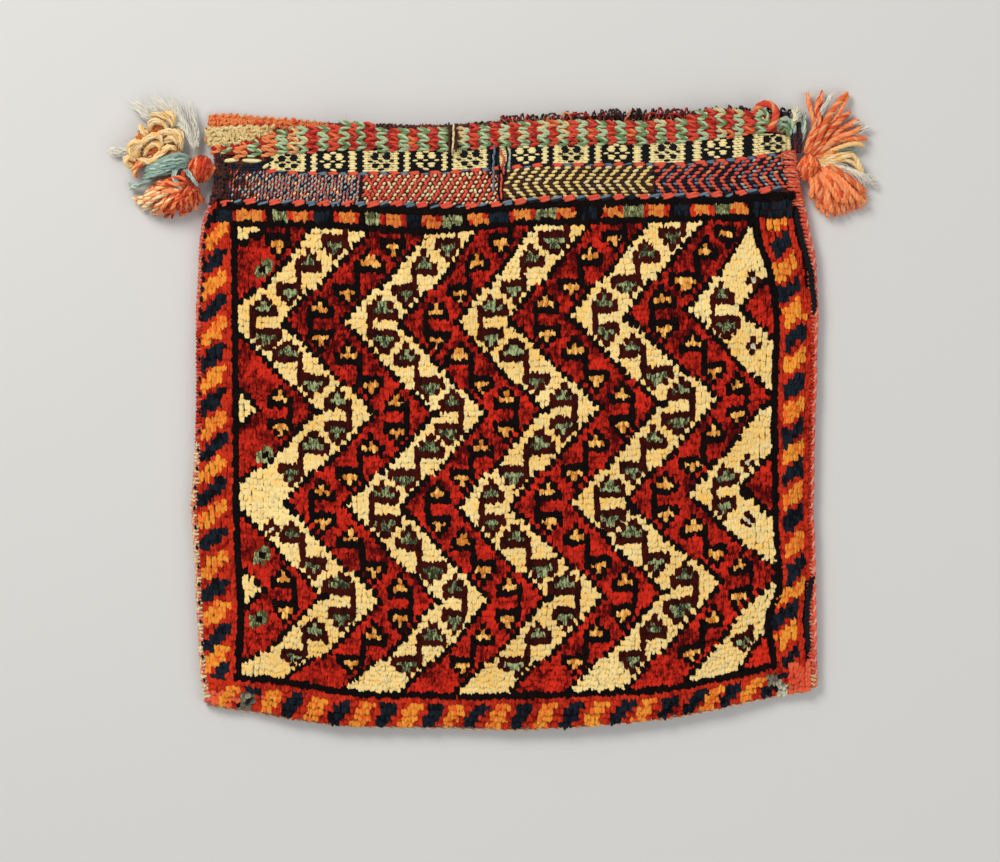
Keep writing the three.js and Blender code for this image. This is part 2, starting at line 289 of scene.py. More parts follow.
def hairs(cloud, start, way, length, mat, radius=0.00007, bend=0.5):
    """Loose fibres: each a fine bent ribbon from its start along its way."""
    start, way = np.asarray(start, float), np.asarray(way, float)
    n = len(start)
    way = way / (np.linalg.norm(way, axis=1, keepdims=True) + 1e-12)
    side = np.cross(way, np.where(np.abs(way[:, 2:3]) < 0.8, [[0, 0, 1.0]], [[1.0, 0, 0]]))
    side /= np.linalg.norm(side, axis=1, keepdims=True)
    other = np.cross(way, side)
    curve = rng.normal(0, bend, (n, 3))
    length = np.broadcast_to(np.asarray(length, float), (n,))[:, None]
    turn = rng.uniform(0, 2 * math.pi, n)[:, None]
    flat = side * np.cos(turn) + other * np.sin(turn)
    pts = np.zeros((n, 9, 3))
    for r in range(4):
        t = r / 3.15
        mid = start + way * length * t + curve * length * t * t * 0.6
        mid[:, 2] = np.maximum(mid[:, 2], 0.00012)
        for k, sign in enumerate((1, -1)):
            pts[:, r * 2 + k] = mid + sign * radius * (1 - 0.6 * t) * flat
    pts[:, 8] = start + way * length + curve * length * 0.6
    pts[:, 8, 2] = np.maximum(pts[:, 8, 2], 0.00012)
    cloud.add(pts, 4, 2, False, True, rng.normal(0.2, 0.4, n), mat, wrap=False)


def yarn(cloud, points, radius, plies=2, sides=6, step=0.0011, pitch=0.006, tone=0.0, mat=0, ends=(0.75, 0.55), wander=0.0, floor=True, fuzz=0):
    """A plied yarn through points, in metres, with some loose fibres."""
    line, s = spline(points, step)
    if wander:
        for k in range(3):
            line[:, k] += wander * np.sin(s / s[-1] * rng.uniform(5, 11) + rng.uniform(0, 6)) * np.sin(np.pi * s / s[-1])
    t, n, b = frames(line)
    share = s / s[-1]
    taper = np.minimum(1, ends[0] + (1 - ends[0]) * share / 0.08) * np.minimum(1, ends[1] + (1 - ends[1]) * (1 - share) / 0.1)
    if floor:
        line[:, 2] = np.maximum(line[:, 2], radius * 1.02)
    first = rng.uniform(0, 6.28)
    for p in range(plies):
        a = 2 * np.pi * s / pitch + first + 2 * np.pi * p / plies
        off = (0.0 if plies == 1 else 0.47) * radius * taper
        ply = line + off[:, None] * (n * np.cos(a)[:, None] + b * np.sin(a)[:, None])
        r = radius * taper * (1.0 if plies == 1 else 0.57)
        cloud.add(tube_points(ply, r, sides), len(ply), sides, True, True, tone + rng.normal(0, 0.12), mat[p % len(mat)] if isinstance(mat, tuple) else mat)
    if fuzz:
        i = rng.integers(0, len(line), fuzz)
        a = rng.uniform(0, 2 * np.pi, fuzz)
        out = n[i] * np.cos(a)[:, None] + b[i] * np.sin(a)[:, None]
        hairs(cloud, line[i] + out * radius * 0.8, out + t[i] * rng.normal(0, 0.8, fuzz)[:, None], radius * rng.uniform(0.7, 1.9, fuzz), mat[0] if isinstance(mat, tuple) else mat)


# ---------------------------------------------------------------------------------------------
# Materials: dyed wool, with the fibres' streaks, uneven dye, painted shade darkening the roots and a soft sheen.
# ---------------------------------------------------------------------------------------------
def lin(c):
    c = np.array(c, float) / 255
    return tuple(np.where(c <= 0.04045, c / 12.92, ((c + 0.055) / 1.055) ** 2.4)) + (1.0,)


def wool(name, colour, second=None, spread=0.28, fine=1500.0, sheen=0.18, rough=0.92, base=0.35, abrash=0.0, stretch=(1, 1, 1), bump=0.5, mixed=0.45, spots=0.9, shine=0.12, speck=0.3, lean=0.38, patch=28.0, deep=1.6, fall=0.0):
    """Wool dyed one colour. second is the colour it drifts to; base is how dark the painted shade at the roots is;
    abrash is the change of dye from row to row; speck is the mix from fibre to fibre; patch and deep are the size and
    strength of the blotches; fall is how much further the colour drifts to the second colour higher up towards the
    mouth.
    """
    m = bpy.data.materials.new(name)
    m.use_nodes = True
    t = m.node_tree
    t.nodes.clear()
    N = lambda kind: t.nodes.new(kind)
    L = t.links.new
    out, bsdf = N("ShaderNodeOutputMaterial"), N("ShaderNodeBsdfPrincipled")
    L(bsdf.outputs[0], out.inputs[0])
    at = N("ShaderNodeTexCoord").outputs["Object"]
    mapping = N("ShaderNodeMapping")
    mapping.inputs["Scale"].default_value = stretch
    L(at, mapping.inputs["Vector"])

    def noise(scale, detail, vec=None, rough_=0.55):
        n = N("ShaderNodeTexNoise")
        n.inputs["Scale"].default_value = scale
        n.inputs["Detail"].default_value = detail
        n.inputs["Roughness"].default_value = rough_
        L(vec or at, n.inputs["Vector"])
        return n.outputs["Fac"]

    def math_(op, a, b, clamp=False):
        n = N("ShaderNodeMath")
        n.operation = op
        n.use_clamp = clamp
        for i, x in enumerate((a, b)):
            if isinstance(x, (int, float)):
                n.inputs[i].default_value = x
            else:
                L(x, n.inputs[i])
        return n.outputs[0]

    fibre = noise(fine, 3.0, mapping.outputs[0], 0.65)
    blotch = noise(patch, 2.0)
    tuft = noise(330.0, 1.0)
    tone = N("ShaderNodeAttribute")
    tone.attribute_name = "tone"
    tip = N("ShaderNodeAttribute")
    tip.attribute_name = "tip"
    # dye: drifts towards the second colour in blotches and from tuft to tuft
    mix = N("ShaderNodeMix")
    mix.data_type = "RGBA"
    mix.inputs[6].default_value = lin(colour)
    mix.inputs[7].default_value = lin(second if second is not None else tuple(0.8 * c for c in colour))
    drift = math_("ADD", math_("MULTIPLY", math_("SUBTRACT", blotch, 0.5), deep), math_("MULTIPLY", tone.outputs["Fac"], mixed))
    drift = math_("ADD", drift, math_("MULTIPLY", math_("SUBTRACT", tuft, 0.5), spots))
    drift = math_("ADD", drift, math_("MULTIPLY", math_("SUBTRACT", fibre, 0.5), speck))
    sep = N("ShaderNodeSeparateXYZ")
    L(at, sep.inputs[0])
    # darker towards the mouth: the colour drifts further to the second colour higher up the bag
    if fall:
        drift = math_("ADD", drift, math_("MULTIPLY", sep.outputs[1], 10.0 * fall))
    if abrash:
        join = N("ShaderNodeCombineXYZ")
        L(math_("MULTIPLY", sep.outputs[1], 1.0), join.inputs[1])
        L(math_("MULTIPLY", sep.outputs[0], 0.04), join.inputs[0])
        band = noise(46.0, 2.5, join.outputs[0])
        drift = math_("ADD", drift, math_("MULTIPLY", math_("SUBTRACT", band, 0.5), abrash))
    L(math_("ADD", drift, lean, True), mix.inputs[0])
    # light and dark: fibre streaks, each tuft's own tone, and painted shade darkening the roots
    level = math_("ADD", 1.0 - 0.5 * spread, math_("MULTIPLY", fibre, spread))
    level = math_("MULTIPLY", level, math_("ADD", 1.0, math_("MULTIPLY", tone.outputs["Fac"], 0.16)))
    # painted shade: the colour darkens towards each strand's root, where the tip attribute is 0, down to base
    painted_root_shade = math_("ADD", base, math_("MULTIPLY", math_("POWER", tip.outputs["Fac"], 0.8), 1.0 - base))
    level = math_("MULTIPLY", level, painted_root_shade)
    hsv = N("ShaderNodeHueSaturation")
    L(mix.outputs[2], hsv.inputs["Color"])
    L(level, hsv.inputs["Value"])
    L(hsv.outputs[0], bsdf.inputs["Base Color"])
    bsdf.inputs["Roughness"].default_value = rough
    bsdf.inputs["Specular IOR Level"].default_value = shine
    bsdf.inputs["Sheen Weight"].default_value = sheen
    bsdf.inputs["Sheen Roughness"].default_value = 0.55
    c = lin(colour)
    bsdf.inputs["Sheen Tint"].default_value = tuple(0.5 + 0.5 * x for x in c[:3]) + (1.0,)
    bm = N("ShaderNodeBump")
    bm.inputs["Strength"].default_value = bump
    bm.inputs["Distance"].default_value = 0.00035
    L(fibre, bm.inputs["Height"])
    L(bm.outputs[0], bsdf.inputs["Normal"])
    return m


# ---------------------------------------------------------------------------------------------
# Camera, floor and light
# ---------------------------------------------------------------------------------------------
scene = bpy.context.scene
scene.view_settings.view_transform = "Standard"
cam_data = bpy.data.cameras.new("camera")
cam = bpy.data.objects.new("camera", cam_data)
scene.collection.objects.link(cam)
cam_data.sensor_width, cam_data.lens = 36.0, 120.0
cam.location = (float(mx(500)), float(my(431)), 1.6 + 0.010)
cam.rotation_euler = (0, 0, 0)
scene.camera = cam


def floor_material():
    m = bpy.data.materials.new("pale_floor")
    m.use_nodes = True
    b = m.node_tree.nodes["Principled BSDF"]
    b.inputs["Base Color"].default_value = (0.56, 0.555, 0.54, 1)
    b.inputs["Roughness"].default_value = 0.85
    return m


bpy.ops.mesh.primitive_plane_add(size=8, location=(0, 0, -0.0002))
floor = bpy.context.object
floor.name = "floor"
floor.data.materials.append(floor_material())


def area(name, place, size, power, at=(0, 0, 0), colour=(1, 1, 1)):
    d = bpy.data.lights.new(name, "AREA")
    d.shape, d.size, d.energy, d.color = "SQUARE", size, power, colour
    o = bpy.data.objects.new(name, d)
    scene.collection.objects.link(o)
    o.location = place
    o.rotation_euler = (Vector(at) - Vector(place)).to_track_quat("-Z", "Y").to_euler()


area("key", (-0.75, 0.95, 1.15), 0.7, 23.0, colour=(1.0, 0.97, 0.93))
area("fill", (1.1, -0.4, 1.3), 1.2, 8.0, colour=(0.94, 0.97, 1.0))
area("front", (0.0, -1.3, 1.0), 1.2, 4.0)
world = bpy.data.worlds.new("world")
scene.world = world
world.use_nodes = True
world.node_tree.nodes["Background"].inputs[0].default_value = (1, 1, 1, 1)
world.node_tree.nodes["Background"].inputs[1].default_value = 0.42

# ---------------------------------------------------------------------------------------------
# The dyes
# ---------------------------------------------------------------------------------------------
ALONG_PILE = (1.0, 0.35, 0.35)
IVORY = wool("ivory_wool", (240, 216, 150), (224, 178, 92), abrash=0.9, stretch=ALONG_PILE, base=0.86, sheen=0.08, speck=1.0, spread=0.42)
RED = wool("madder_red_wool", (212, 44, 26), (70, 3, 4), abrash=0.9, stretch=ALONG_PILE, base=0.8, mixed=0.4, spots=1.3, sheen=0.05, shine=0.06, speck=1.8, lean=0.58, patch=85.0, deep=2.2, fall=0.13, spread=0.4)
BLACK = wool("black_wool", (11, 8, 9), (20, 10, 8), stretch=ALONG_PILE, base=0.8, sheen=0.02, shine=0.05)
BROWN = wool("dark_brown_wool", (66, 14, 8), (32, 6, 4), stretch=ALONG_PILE, base=0.8, sheen=0.03, mixed=0.7, shine=0.05)
GREEN = wool("grey_green_wool", (45, 49, 28), (152, 164, 116), abrash=0.3, stretch=ALONG_PILE, base=0.8, mixed=0.4, spots=1.0, sheen=0.05, speck=4.5, lean=0.34, spread=0.5)
GOLD = wool("gold_wool", (204, 122, 40), (230, 180, 96), stretch=ALONG_PILE, base=0.8, mixed=0.7, spots=1.2, sheen=0.08, speck=2.4, spread=0.4)
NAVY = wool("navy_wool", (26, 35, 44), (7, 9, 13), stretch=ALONG_PILE, base=0.8, sheen=0.03, mixed=0.7, shine=0.06, speck=2.0, spread=0.5)
BORDER_RED = wool("border_red_wool", (205, 52, 26), (116, 12, 8), abrash=0.7, stretch=ALONG_PILE, base=0.8, mixed=0.5, spots=1.3, sheen=0.06, shine=0.06, speck=1.4, spread=0.4)
ORANGE = wool("border_orange_wool", (238, 156, 52), (208, 84, 28), abrash=0.7, stretch=ALONG_PILE, base=0.8, mixed=0.6, spots=1.2, sheen=0.08, speck=1.4, spread=0.4)
WORN = wool("worn_grey_wool", (104, 96, 78), (168, 156, 132), stretch=ALONG_PILE, speck=1.5)
OLIVE = wool("olive_wool", (70, 72, 40), (158, 164, 112), stretch=ALONG_PILE, base=0.8, mixed=0.5, speck=4.0, lean=0.36, spread=0.5)
AMBER = wool("amber_wool", (222, 140, 56), (186, 82, 34), stretch=ALONG_PILE, base=0.8, mixed=0.6, spots=1.2, speck=1.6, spread=0.4)
PALE = wool("pale_wool", (214, 204, 170), (190, 184, 160), stretch=ALONG_PILE)
ROSE = wool("salmon_pile_wool", (232, 104, 66), (206, 60, 36), stretch=ALONG_PILE, base=0.8, mixed=0.5, speck=1.2, spread=0.4)

FLAT_IVORY = wool("flat_ivory_wool", (242, 226, 166), (226, 204, 138), base=0.8, spread=0.22)
FLAT_BLACK = wool("flat_black_wool", (22, 22, 28), (14, 12, 14), base=0.8, sheen=0.05)
SALMON = wool("salmon_wool", (226, 92, 64), (204, 70, 58), base=0.75)
CREAM = wool("cream_wool", (232, 214, 164), (212, 190, 138), base=0.8)
SKY = wool("sky_blue_wool", (110, 130, 142), (76, 98, 116), base=0.75)
MIST = wool("mist_wool", (176, 188, 182), (128, 148, 150), base=0.75)
INK = wool("ink_wool", (30, 34, 48), (20, 20, 28), base=0.75, sheen=0.05)
UMBER = wool("umber_wool", (74, 44, 22), (50, 28, 16), base=0.75)
YELLOW = wool("yellow_wool", (240, 218, 146), (216, 180, 100), base=0.75)
BERRY = wool("berry_wool", (120, 40, 36), (84, 28, 26), base=0.75)

PLAIT_RED = wool("plait_red_wool", (216, 80, 54), (192, 54, 40), base=0.8)
PLAIT_GREEN = wool("plait_green_wool", (188, 204, 162), (150, 174, 128), base=0.75)
# a darker copy of the plait red: painted shade on one ply of the red stitches, and dark red yarn in the core and the
# back rim
PLAIT_DARK_AND_SHADE = wool("plait_dark_red_and_shade_wool", (176, 40, 28), (132, 22, 20), base=0.8)
# a darker copy of the plait green: painted shade on one ply of the green stitches, and grey-green yarn in the back rim
# loops
PLAIT_MOSS_AND_SHADE = wool("plait_moss_and_shade_wool", (122, 150, 98), (84, 112, 66), base=0.75)
PLAIT_PEACH = wool("plait_peach_wool", (228, 150, 96), (206, 118, 72), base=0.75)
PLAIT_TAN = wool("plait_tan_wool", (228, 204, 142), (204, 168, 108), base=0.7)
RIM_ORANGE = wool("rim_orange_wool", (232, 136, 74), (212, 104, 58), base=0.75)
RIM_BROWN = wool("rim_brown_wool", (84, 42, 34), (46, 28, 28), base=0.7)
TASSEL_ORANGE = wool("tassel_orange_wool", (228, 104, 54), (240, 142, 84), base=0.8, fine=1100)
TASSEL_RED = wool("tassel_red_wool", (208, 74, 40), (190, 54, 30), base=0.8, fine=1100)
TASSEL_PEACH = wool("tassel_peach_wool", (240, 164, 110), (232, 134, 80), base=0.8, fine=1100)
TASSEL_PALE = wool("tassel_pale_wool", (246, 226, 180), (240, 206, 148), base=0.8, fine=1100)
TASSEL_YELLOW = wool("tassel_yellow_wool", (244, 208, 142), (232, 176, 102), base=0.8, fine=1100)
TASSEL_BLUE = wool("tassel_blue_wool", (164, 186, 172), (118, 150, 138), base=0.8, fine=1100)
TASSEL_MIST = wool("tassel_mist_wool", (204, 214, 198), (176, 192, 176), base=0.8, fine=1100)
COTTON = wool("white_cotton", (236, 233, 222), (212, 206, 188), base=0.85, fine=1100, sheen=0.1)

# ---------------------------------------------------------------------------------------------
# The ground: one woven strip folded at the bottom, front and back, hollow between them
# ---------------------------------------------------------------------------------------------
def ground_material():
    m = wool("ground_weave", (126, 52, 40), (92, 34, 30), spread=0.3, fine=1400, base=1.0)
    t = m.node_tree
    bsdf = next(n for n in t.nodes if n.type == "BSDF_PRINCIPLED")
    at = next(n for n in t.nodes if n.type == "TEX_COORD").outputs["Object"]
    N, L = t.nodes.new, t.links.new

    def wave(axis, scale):
        w = N("ShaderNodeTexWave")
        w.bands_direction = axis
        w.inputs["Scale"].default_value = scale
        w.inputs["Distortion"].default_value = 1.2
        w.inputs["Detail"].default_value = 1.0
        w.inputs["Detail Scale"].default_value = 1.5
        L(at, w.inputs["Vector"])
        return w.outputs["Fac"]

    # weft rows every 1.1 mm over warps every 2.4 mm
    rows, warps = wave("Y", 0.314 / 0.0011), wave("X", 0.314 / 0.0024)
    h = N("ShaderNodeMath")
    h.operation = "MULTIPLY_ADD"
    h.inputs[1].default_value = 0.55
    L(warps, h.inputs[0])
    L(rows, h.inputs[2])
    bump = N("ShaderNodeBump")
    bump.inputs["Strength"].default_value = 0.8
    bump.inputs["Distance"].default_value = 0.0005
    L(h.outputs[0], bump.inputs["Height"])
    old = bsdf.inputs["Normal"].links[0].from_node
    L(old.outputs[0], bump.inputs["Normal"])
    L(bump.outputs[0], bsdf.inputs["Normal"])
    # narrow weft bands in darker and paler wool across the back
    sep = N("ShaderNodeSeparateXYZ")
    L(at, sep.inputs[0])
    ramp = N("ShaderNodeValToRGB")
    ramp.color_ramp.interpolation = "CONSTANT"
    span = lambda y: (y + 0.16) / 0.32
    stops = [(0.0, (0, 0, 0)), (span(-0.105), (1, 1, 1)), (span(-0.101), (0, 0, 0)), (span(-0.094), (1, 1, 1)), (span(-0.090), (0, 0, 0)),
             (span(0.020), (1, 1, 1)), (span(0.024), (0, 0, 0)), (span(0.031), (1, 1, 1)), (span(0.035), (0, 0, 0)),
             (span(0.112), (1, 1, 1)), (span(0.116), (0, 0, 0)), (span(0.123), (1, 1, 1)), (span(0.127), (0, 0, 0))]
    e = ramp.color_ramp.elements
    e[0].position, e[0].color = stops[0][0], stops[0][1] + (1,)
    e[1].position, e[1].color = stops[1][0], stops[1][1] + (1,)
    for p, c in stops[2:]:
        e.new(p).color = c + (1,)
    mr = N("ShaderNodeMapRange")
    mr.inputs["From Min"].default_value, mr.inputs["From Max"].default_value = -0.16, 0.16
    wob = N("ShaderNodeTexNoise")
    wob.inputs["Scale"].default_value = 40.0
    L(at, wob.inputs["Vector"])
    shift = N("ShaderNodeMath")
    shift.operation = "MULTIPLY_ADD"
    shift.inputs[1].default_value = 0.0012
    L(wob.outputs["Fac"], shift.inputs[0])
    L(sep.outputs[1], shift.inputs[2])
    L(shift.outputs[0], mr.inputs["Value"])
    L(mr.outputs[0], ramp.inputs[0])
    mix = N("ShaderNodeMix")
    mix.data_type = "RGBA"
    source = bsdf.inputs["Base Color"].links[0].from_socket
    L(ramp.outputs[0], mix.inputs[0])
    L(source, mix.inputs[6])
    mix.inputs[7].default_value = lin((34, 32, 44))
    L(mix.outputs[2], bsdf.inputs["Base Color"])
    return m


def ground_cloth():
    across = np.concatenate([[0, 0.006, 0.016, 0.03], np.linspace(0.05, 0.95, 46), [0.97, 0.984, 0.994, 1]])
    along = np.concatenate([[0, 0.006, 0.016, 0.03, 0.05], np.linspace(0.075, 0.86, 40), np.linspace(0.87, 1, 18)])
    nu, nv = len(across), len(along)
    u, v = np.meshgrid(across, along)
    sheets = {}
    for inside in (False, True):
        for front in (True, False):
            edge = 9.0 if inside else 0.0
            rim = front_rim if front else back_rim
            x = 200 + 615 * u
            for _ in range(5):
                low, high = bottom_edge(x) - 0.8 * edge - 3.0, rim(x)
                y = low + (high - low) * v
                l, r = left_edge(y) + LACE + edge, right_edge(y) - LACE - edge
                x = l + (r - l) * u
            side = np.minimum(u, 1 - u)
            if inside:
                z = BACK + 0 * u if not front else BACK + standing_open(u, v)
            elif front:
                z = front_height(x, y) - 0.35
                turn = np.maximum(1 - smooth(0, 0.02, side), 1 - smooth(0, 0.02, v))
                z = z * (1 - turn) + np.minimum(z, 3.4) * turn
            else:
                turn = np.maximum(1 - smooth(0, 0.03, side), 0.9 * (1 - smooth(0, 0.03, v)))
                z = 1.6 * turn + 0.04
            if inside and front:
                z = np.minimum(z, front_height(x, y) - 1.1)
            if inside and not front:
                z = z - 0.5
            sheets[inside, front] = np.stack([mx(x), my(y), z * MM], -1)
    names = [(False, True), (False, False), (True, True), (True, False)]
    pts = np.concatenate([sheets[n].reshape(-1, 3) for n in names])
    base = {n: i * nu * nv for i, n in enumerate(names)}
    idx = np.arange(nu * nv).reshape(nv, nu)
    quads = []

    def skin(i0, i1, j0, j1, flip):
        q = np.stack([i0, i1, j1, j0], -1).reshape(-1, 4)
        quads.append(q[:, ::-1] if flip else q)

    for inside in (False, True):
        f, b = idx + base[inside, True], idx + base[inside, False]
        skin(f[:-1, :-1], f[:-1, 1:], f[1:, :-1], f[1:, 1:], inside)
        skin(b[:-1, 1:], b[:-1, :-1], b[1:, 1:], b[1:, :-1], inside)
        skin(b[:-1, 0], f[:-1, 0], b[1:, 0], f[1:, 0], inside)
        skin(f[:-1, -1], b[:-1, -1], f[1:, -1], b[1:, -1], inside)
        skin(b[0, :-1], b[0, 1:], f[0, :-1], f[0, 1:], inside)
    of, ob, nf, nb = [idx[-1] + base[k] for k in names]
    skin(of[:-1], of[1:], nf[:-1], nf[1:], False)
    skin(ob[1:], ob[:-1], nb[1:], nb[:-1], False)
    skin(ob[:1], of[:1], nb[:1], nf[:1], False)
    skin(of[-1:], ob[-1:], nf[-1:], nb[-1:], False)
    # the corners of each quad run lower-left, lower-right, upper-right, upper-left
    q = np.concatenate(quads)
    return mesh_object("woven_ground", pts, q, np.zeros((0, 3), int), [ground_material()],
                       attributes={"tone": np.zeros(len(pts)), "tip": np.ones(len(pts))})


ground = ground_cloth()
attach(ground, "bag")
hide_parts("woven_body")

# ---------------------------------------------------------------------------------------------
# The pile: symmetrical knots in rows, two strands showing from each
# ---------------------------------------------------------------------------------------------
COLS, ROWS = (-7, 109), (-4, 86)  # the field is columns 0 to 101 and rows 0 to 79
(C_IVORY, C_RED, C_BLACK, C_BROWN, C_GREEN, C_GOLD, C_NAVY, C_BRED, C_ORANGE, C_WORN, C_PALE, C_OLIVE, C_AMBER, C_FRAME, C_ROSE) = range(15)


EDGE_YARNS = (((797, 205), (798, 224), (804, 246), (808, 262), (811.5, 275), (814, 300), (815, 322)),
              ((814, 572), (812, 584), (808, 605), (807, 625), (807.5, 645), (808, 660)))


def knot_colours():
    i0, j0 = COLS[0], ROWS[0]
    g = np.full((ROWS[1] - ROWS[0], COLS[1] - COLS[0]), C_BRED)

    def put(i, j, c, only_field=True):
        if only_field and not (0 <= i <= 101 and 0 <= j <= 79):
            return
        g[j - j0, i - i0] = c

    swing = lambda j: abs(16 - (j % 32))
    # zigzag bands: ivory and red, each ten knots wide, with one black knot between
    for j in range(80):
        phase = (j + 1) % 32
        out = 0 if 11 <= phase <= 27 else 1
        narrow = phase == 0, phase in (17, 18)
        for i in range(102):
            p = (i - 42 - abs(16 - phase) - out) % 22
            put(i, j, C_IVORY if p <= 9 else C_BLACK if p in (10, 21) else C_RED)
            if p == 0 and narrow[0] or p == 9 and narrow[1]:
                put(i, j, C_BLACK)

    for j, ends in ((0, (4, 5)), (1, (2, 4)), (2, (0, 2))):
        for i in range(ends[1]):
            put(i, j, C_IVORY if i < ends[0] else C_BLACK)

    def triangle(i, j, point_up, to_right, rim, heart, wide=5):
        """A small triangle with its upright side on column i. j is the row of its point."""
        rows = {5: ["..o..", ".oxo.", "oxxxo", "ooooo"], 6: ["..oo..", ".oxxo.", "oxxxxo", "oooooo"]}[wide]
        if wide == 6 and (i + j) % 2:
            rows[0] = "..o..."
        for r, row in enumerate(rows):
            for k, mark in enumerate(row):
                if mark != ".":
                    put(i + (k if to_right else -k), j + (r if point_up else -r), rim if mark == "o" else heart)

    def motif(i, j, upper_right, lower_right, rim, heart, halves=(True, True), wide=(5, 5)):
        """Two triangles base to base on one upright stem; j is the first row of the upper one."""
        if halves[0]:
            triangle(i, j, True, upper_right, rim, heart, wide[0])
        for r in range(3 if halves[0] else 5, 7):
            put(i, j + r, rim)
        if halves[1]:
            triangle(i, j + 9, False, lower_right, rim, heart, wide[1])

    pick = np.random.default_rng(7)
    for first, width, rim, heart in ((42, 11, C_BROWN, C_GREEN), (54, 9, C_BLACK, C_GOLD)):
        ivory = width == 11
        for k in range(-3, 5):
            for tip in (0, 16, 32, 48, 64):
                left = first + 22 * k + swing(tip)
                pointing_left = tip % 32 == 16
                stem = left + 4 if pointing_left else left + width - (5 if ivory else 4)
                lo, hi = (stem, stem + 4) if pointing_left else (stem - 4, stem)
                if lo < 1 or hi > 100 or (tip == 48 and k <= -2 and ivory):
                    continue
                if pointing_left and not ivory:
                    stem -= 1
                share = 0.0 if not ivory else 0.55 if pointing_left else 0.25
                motif(stem, tip - 5, pointing_left, pointing_left, rim, heart, (tip > 0, True), tuple(6 if pick.random() < share else 5 for _ in range(2)))
            for mid in (8, 24, 40, 56, 72):
                left = first + 22 * k + 8
                stem = left + width // 2
                rising = mid % 32 == 8
                if ivory and mid == 72 and 95 < stem <= 101:
                    motif(stem, mid - 5, rising, False, rim, heart, (False, True))
                if stem - 4 < 1 or stem + 4 > 100:
                    continue
                share = 0.4 if ivory else 0.06
                motif(stem, mid - 5, rising, not rising, rim, heart, (True, True), tuple(6 if pick.random() < share else 5 for _ in range(2)))

    def flower(i, j, petal, heart):
        for di, dj in ((0, -1), (0, 1), (-1, 0), (1, 0)) + (((1, -1), (-1, 1)) if petal == C_OLIVE else ()):
            put(i + di, j + dj, petal)
        put(i, j, heart)

    for x, y, petal, heart in ((263, 262, C_OLIVE, C_BLACK), (262, 446, C_OLIVE, C_BLACK), (258, 547, C_OLIVE, C_BLACK), (258, 613, C_OLIVE, C_BLACK),
                               (268, 520, C_BROWN, C_PALE), (752, 279, C_BROWN, C_PALE), (752, 349, C_BROWN, C_PALE), (750, 467, C_BROWN, C_PALE), (752, 522, C_BROWN, C_PALE)):
        top, low = line_top(x), line_bottom(x)
        flower(int(round((x - line_left(y)) / (line_right(y) - line_left(y)) * 103 - 1)), int(round((y - top) / (low - top) * 81 - 1)), petal, heart)

    # slanted lozenges round three sides, gold and navy in turn on red
    def lozenge(t, middles, half):
        middles = [2 * middles[0] - middles[1]] + middles + [2 * middles[-1] - middles[-2]]
        if min(abs(t - m) for m in middles) <= half:
            return C_NAVY
        between = min((abs(t - (a + b) / 2) for a, b in zip(middles, middles[1:]) if b - a > 34), default=99)
        return C_ORANGE if between <= half + 0.3 else C_BRED

    down_left = [256, 304, 352, 397, 445, 488, 535, 585, 633, 674]
    down_right = [244, 290, 336, 386, 433, 472, 519, 570, 614, 659]
    along_fold = [250, 295, 342, 388, 435, 478, 523, 574, 624, 670, 697, 733, 776]
    for j in range(-3, 81):
        for c in range(5):
            top, low = line_top(236), line_bottom(236)
            put(-7 + c, j, lozenge(top + (j + 1) / 81 * (low - top) + 4.0 * (c - 2.8), down_left, (6.0, 8.6, 8.6, 8.4, 4.4)[c]), False)
        top, low = line_top(772), line_bottom(772)
        y = top + (j + 1) / 81 * (low - top)
        first, last = (104, 106) if y < 262 or y > 642 else (103, 106) if y < 312 or 592 < y else (104, 107)
        for i in range(first, last + 1):
            put(i, j, lozenge(y + (3.8 if y < 642 else 6.5) * (i - (first + last) / 2), down_right, 8.4 if y < 642 else 6.6), False)
    for j in range(82, 86):
        for i in range(-5, 108):
            x = 240.0 + (i + 1) / 103 * (773 - 235.5)
            put(i, j, lozenge(x + 3.4 * (j - 83.5), along_fold, 7.6 if j < 85 else 6.0), False)
    # blocks above the field: orange with red ends, green and navy between them, on black
    column = lambda t: (t - 235.5) / (761 - 235.5) * 103 - 1
    for i in range(-6, 108):
        for j in (-3, -2):
            put(i, j, C_BLACK, False)
    for mark, ends in ((C_AMBER, ((237, 270), (291, 316), (335, 365), (383, 408), (425, 446), (468, 490), (510, 534), (558, 579), (602, 623), (645, 669), (692, 714), (735, 757))),
                       (C_OLIVE, ((274, 290), (366, 382), (447, 466), (536, 557), (625, 642), (717, 733))),
                       (C_NAVY, ((214, 233), (318, 334), (409, 424), (492, 509), (581, 600), (674, 690), (759, 790)))):
        for a, b in ends:
            first, last = int(round(column(a))), int(round(column(b))) - 1
            for i in range(first, last + 1):
                for j in (-3, -2):
                    rim = mark == C_AMBER and ((i == first and (j == -2 or last - first > 3)) or (i == last and (j == -3 or last - first > 3)))
                    put(i, j, C_BRED if rim else mark, False)
    # the framing lines, one knot wide
    for i in range(-1, 103):
        put(i, -1, C_FRAME, False)
        put(i, 80, C_FRAME, False)
    for i in range(-6, 109):
        put(i, -4, C_BLACK, False)
    for j in range(-1, 81):
        put(-1, j, C_FRAME, False)
        put(102, j, C_FRAME, False)
    return g


# the weaving is not square: how far knots drift sideways across the field, and how far rows sag
drift_across = table([(236, 0), (262, 4), (316, 2), (372, 5), (428, 3.3), (484, -0.7), (540, -2.7), (596, -0.7), (652, -1.2), (708, 2.3), (755, -3), (774, 0)])
sag_across = table([(230, 4), (260, 6), (316, 4.2), (372, 1), (428, 0), (484, 1), (540, 1.2), (596, 0), (652, -0.8), (708, -1), (764, -1), (780, 0)])


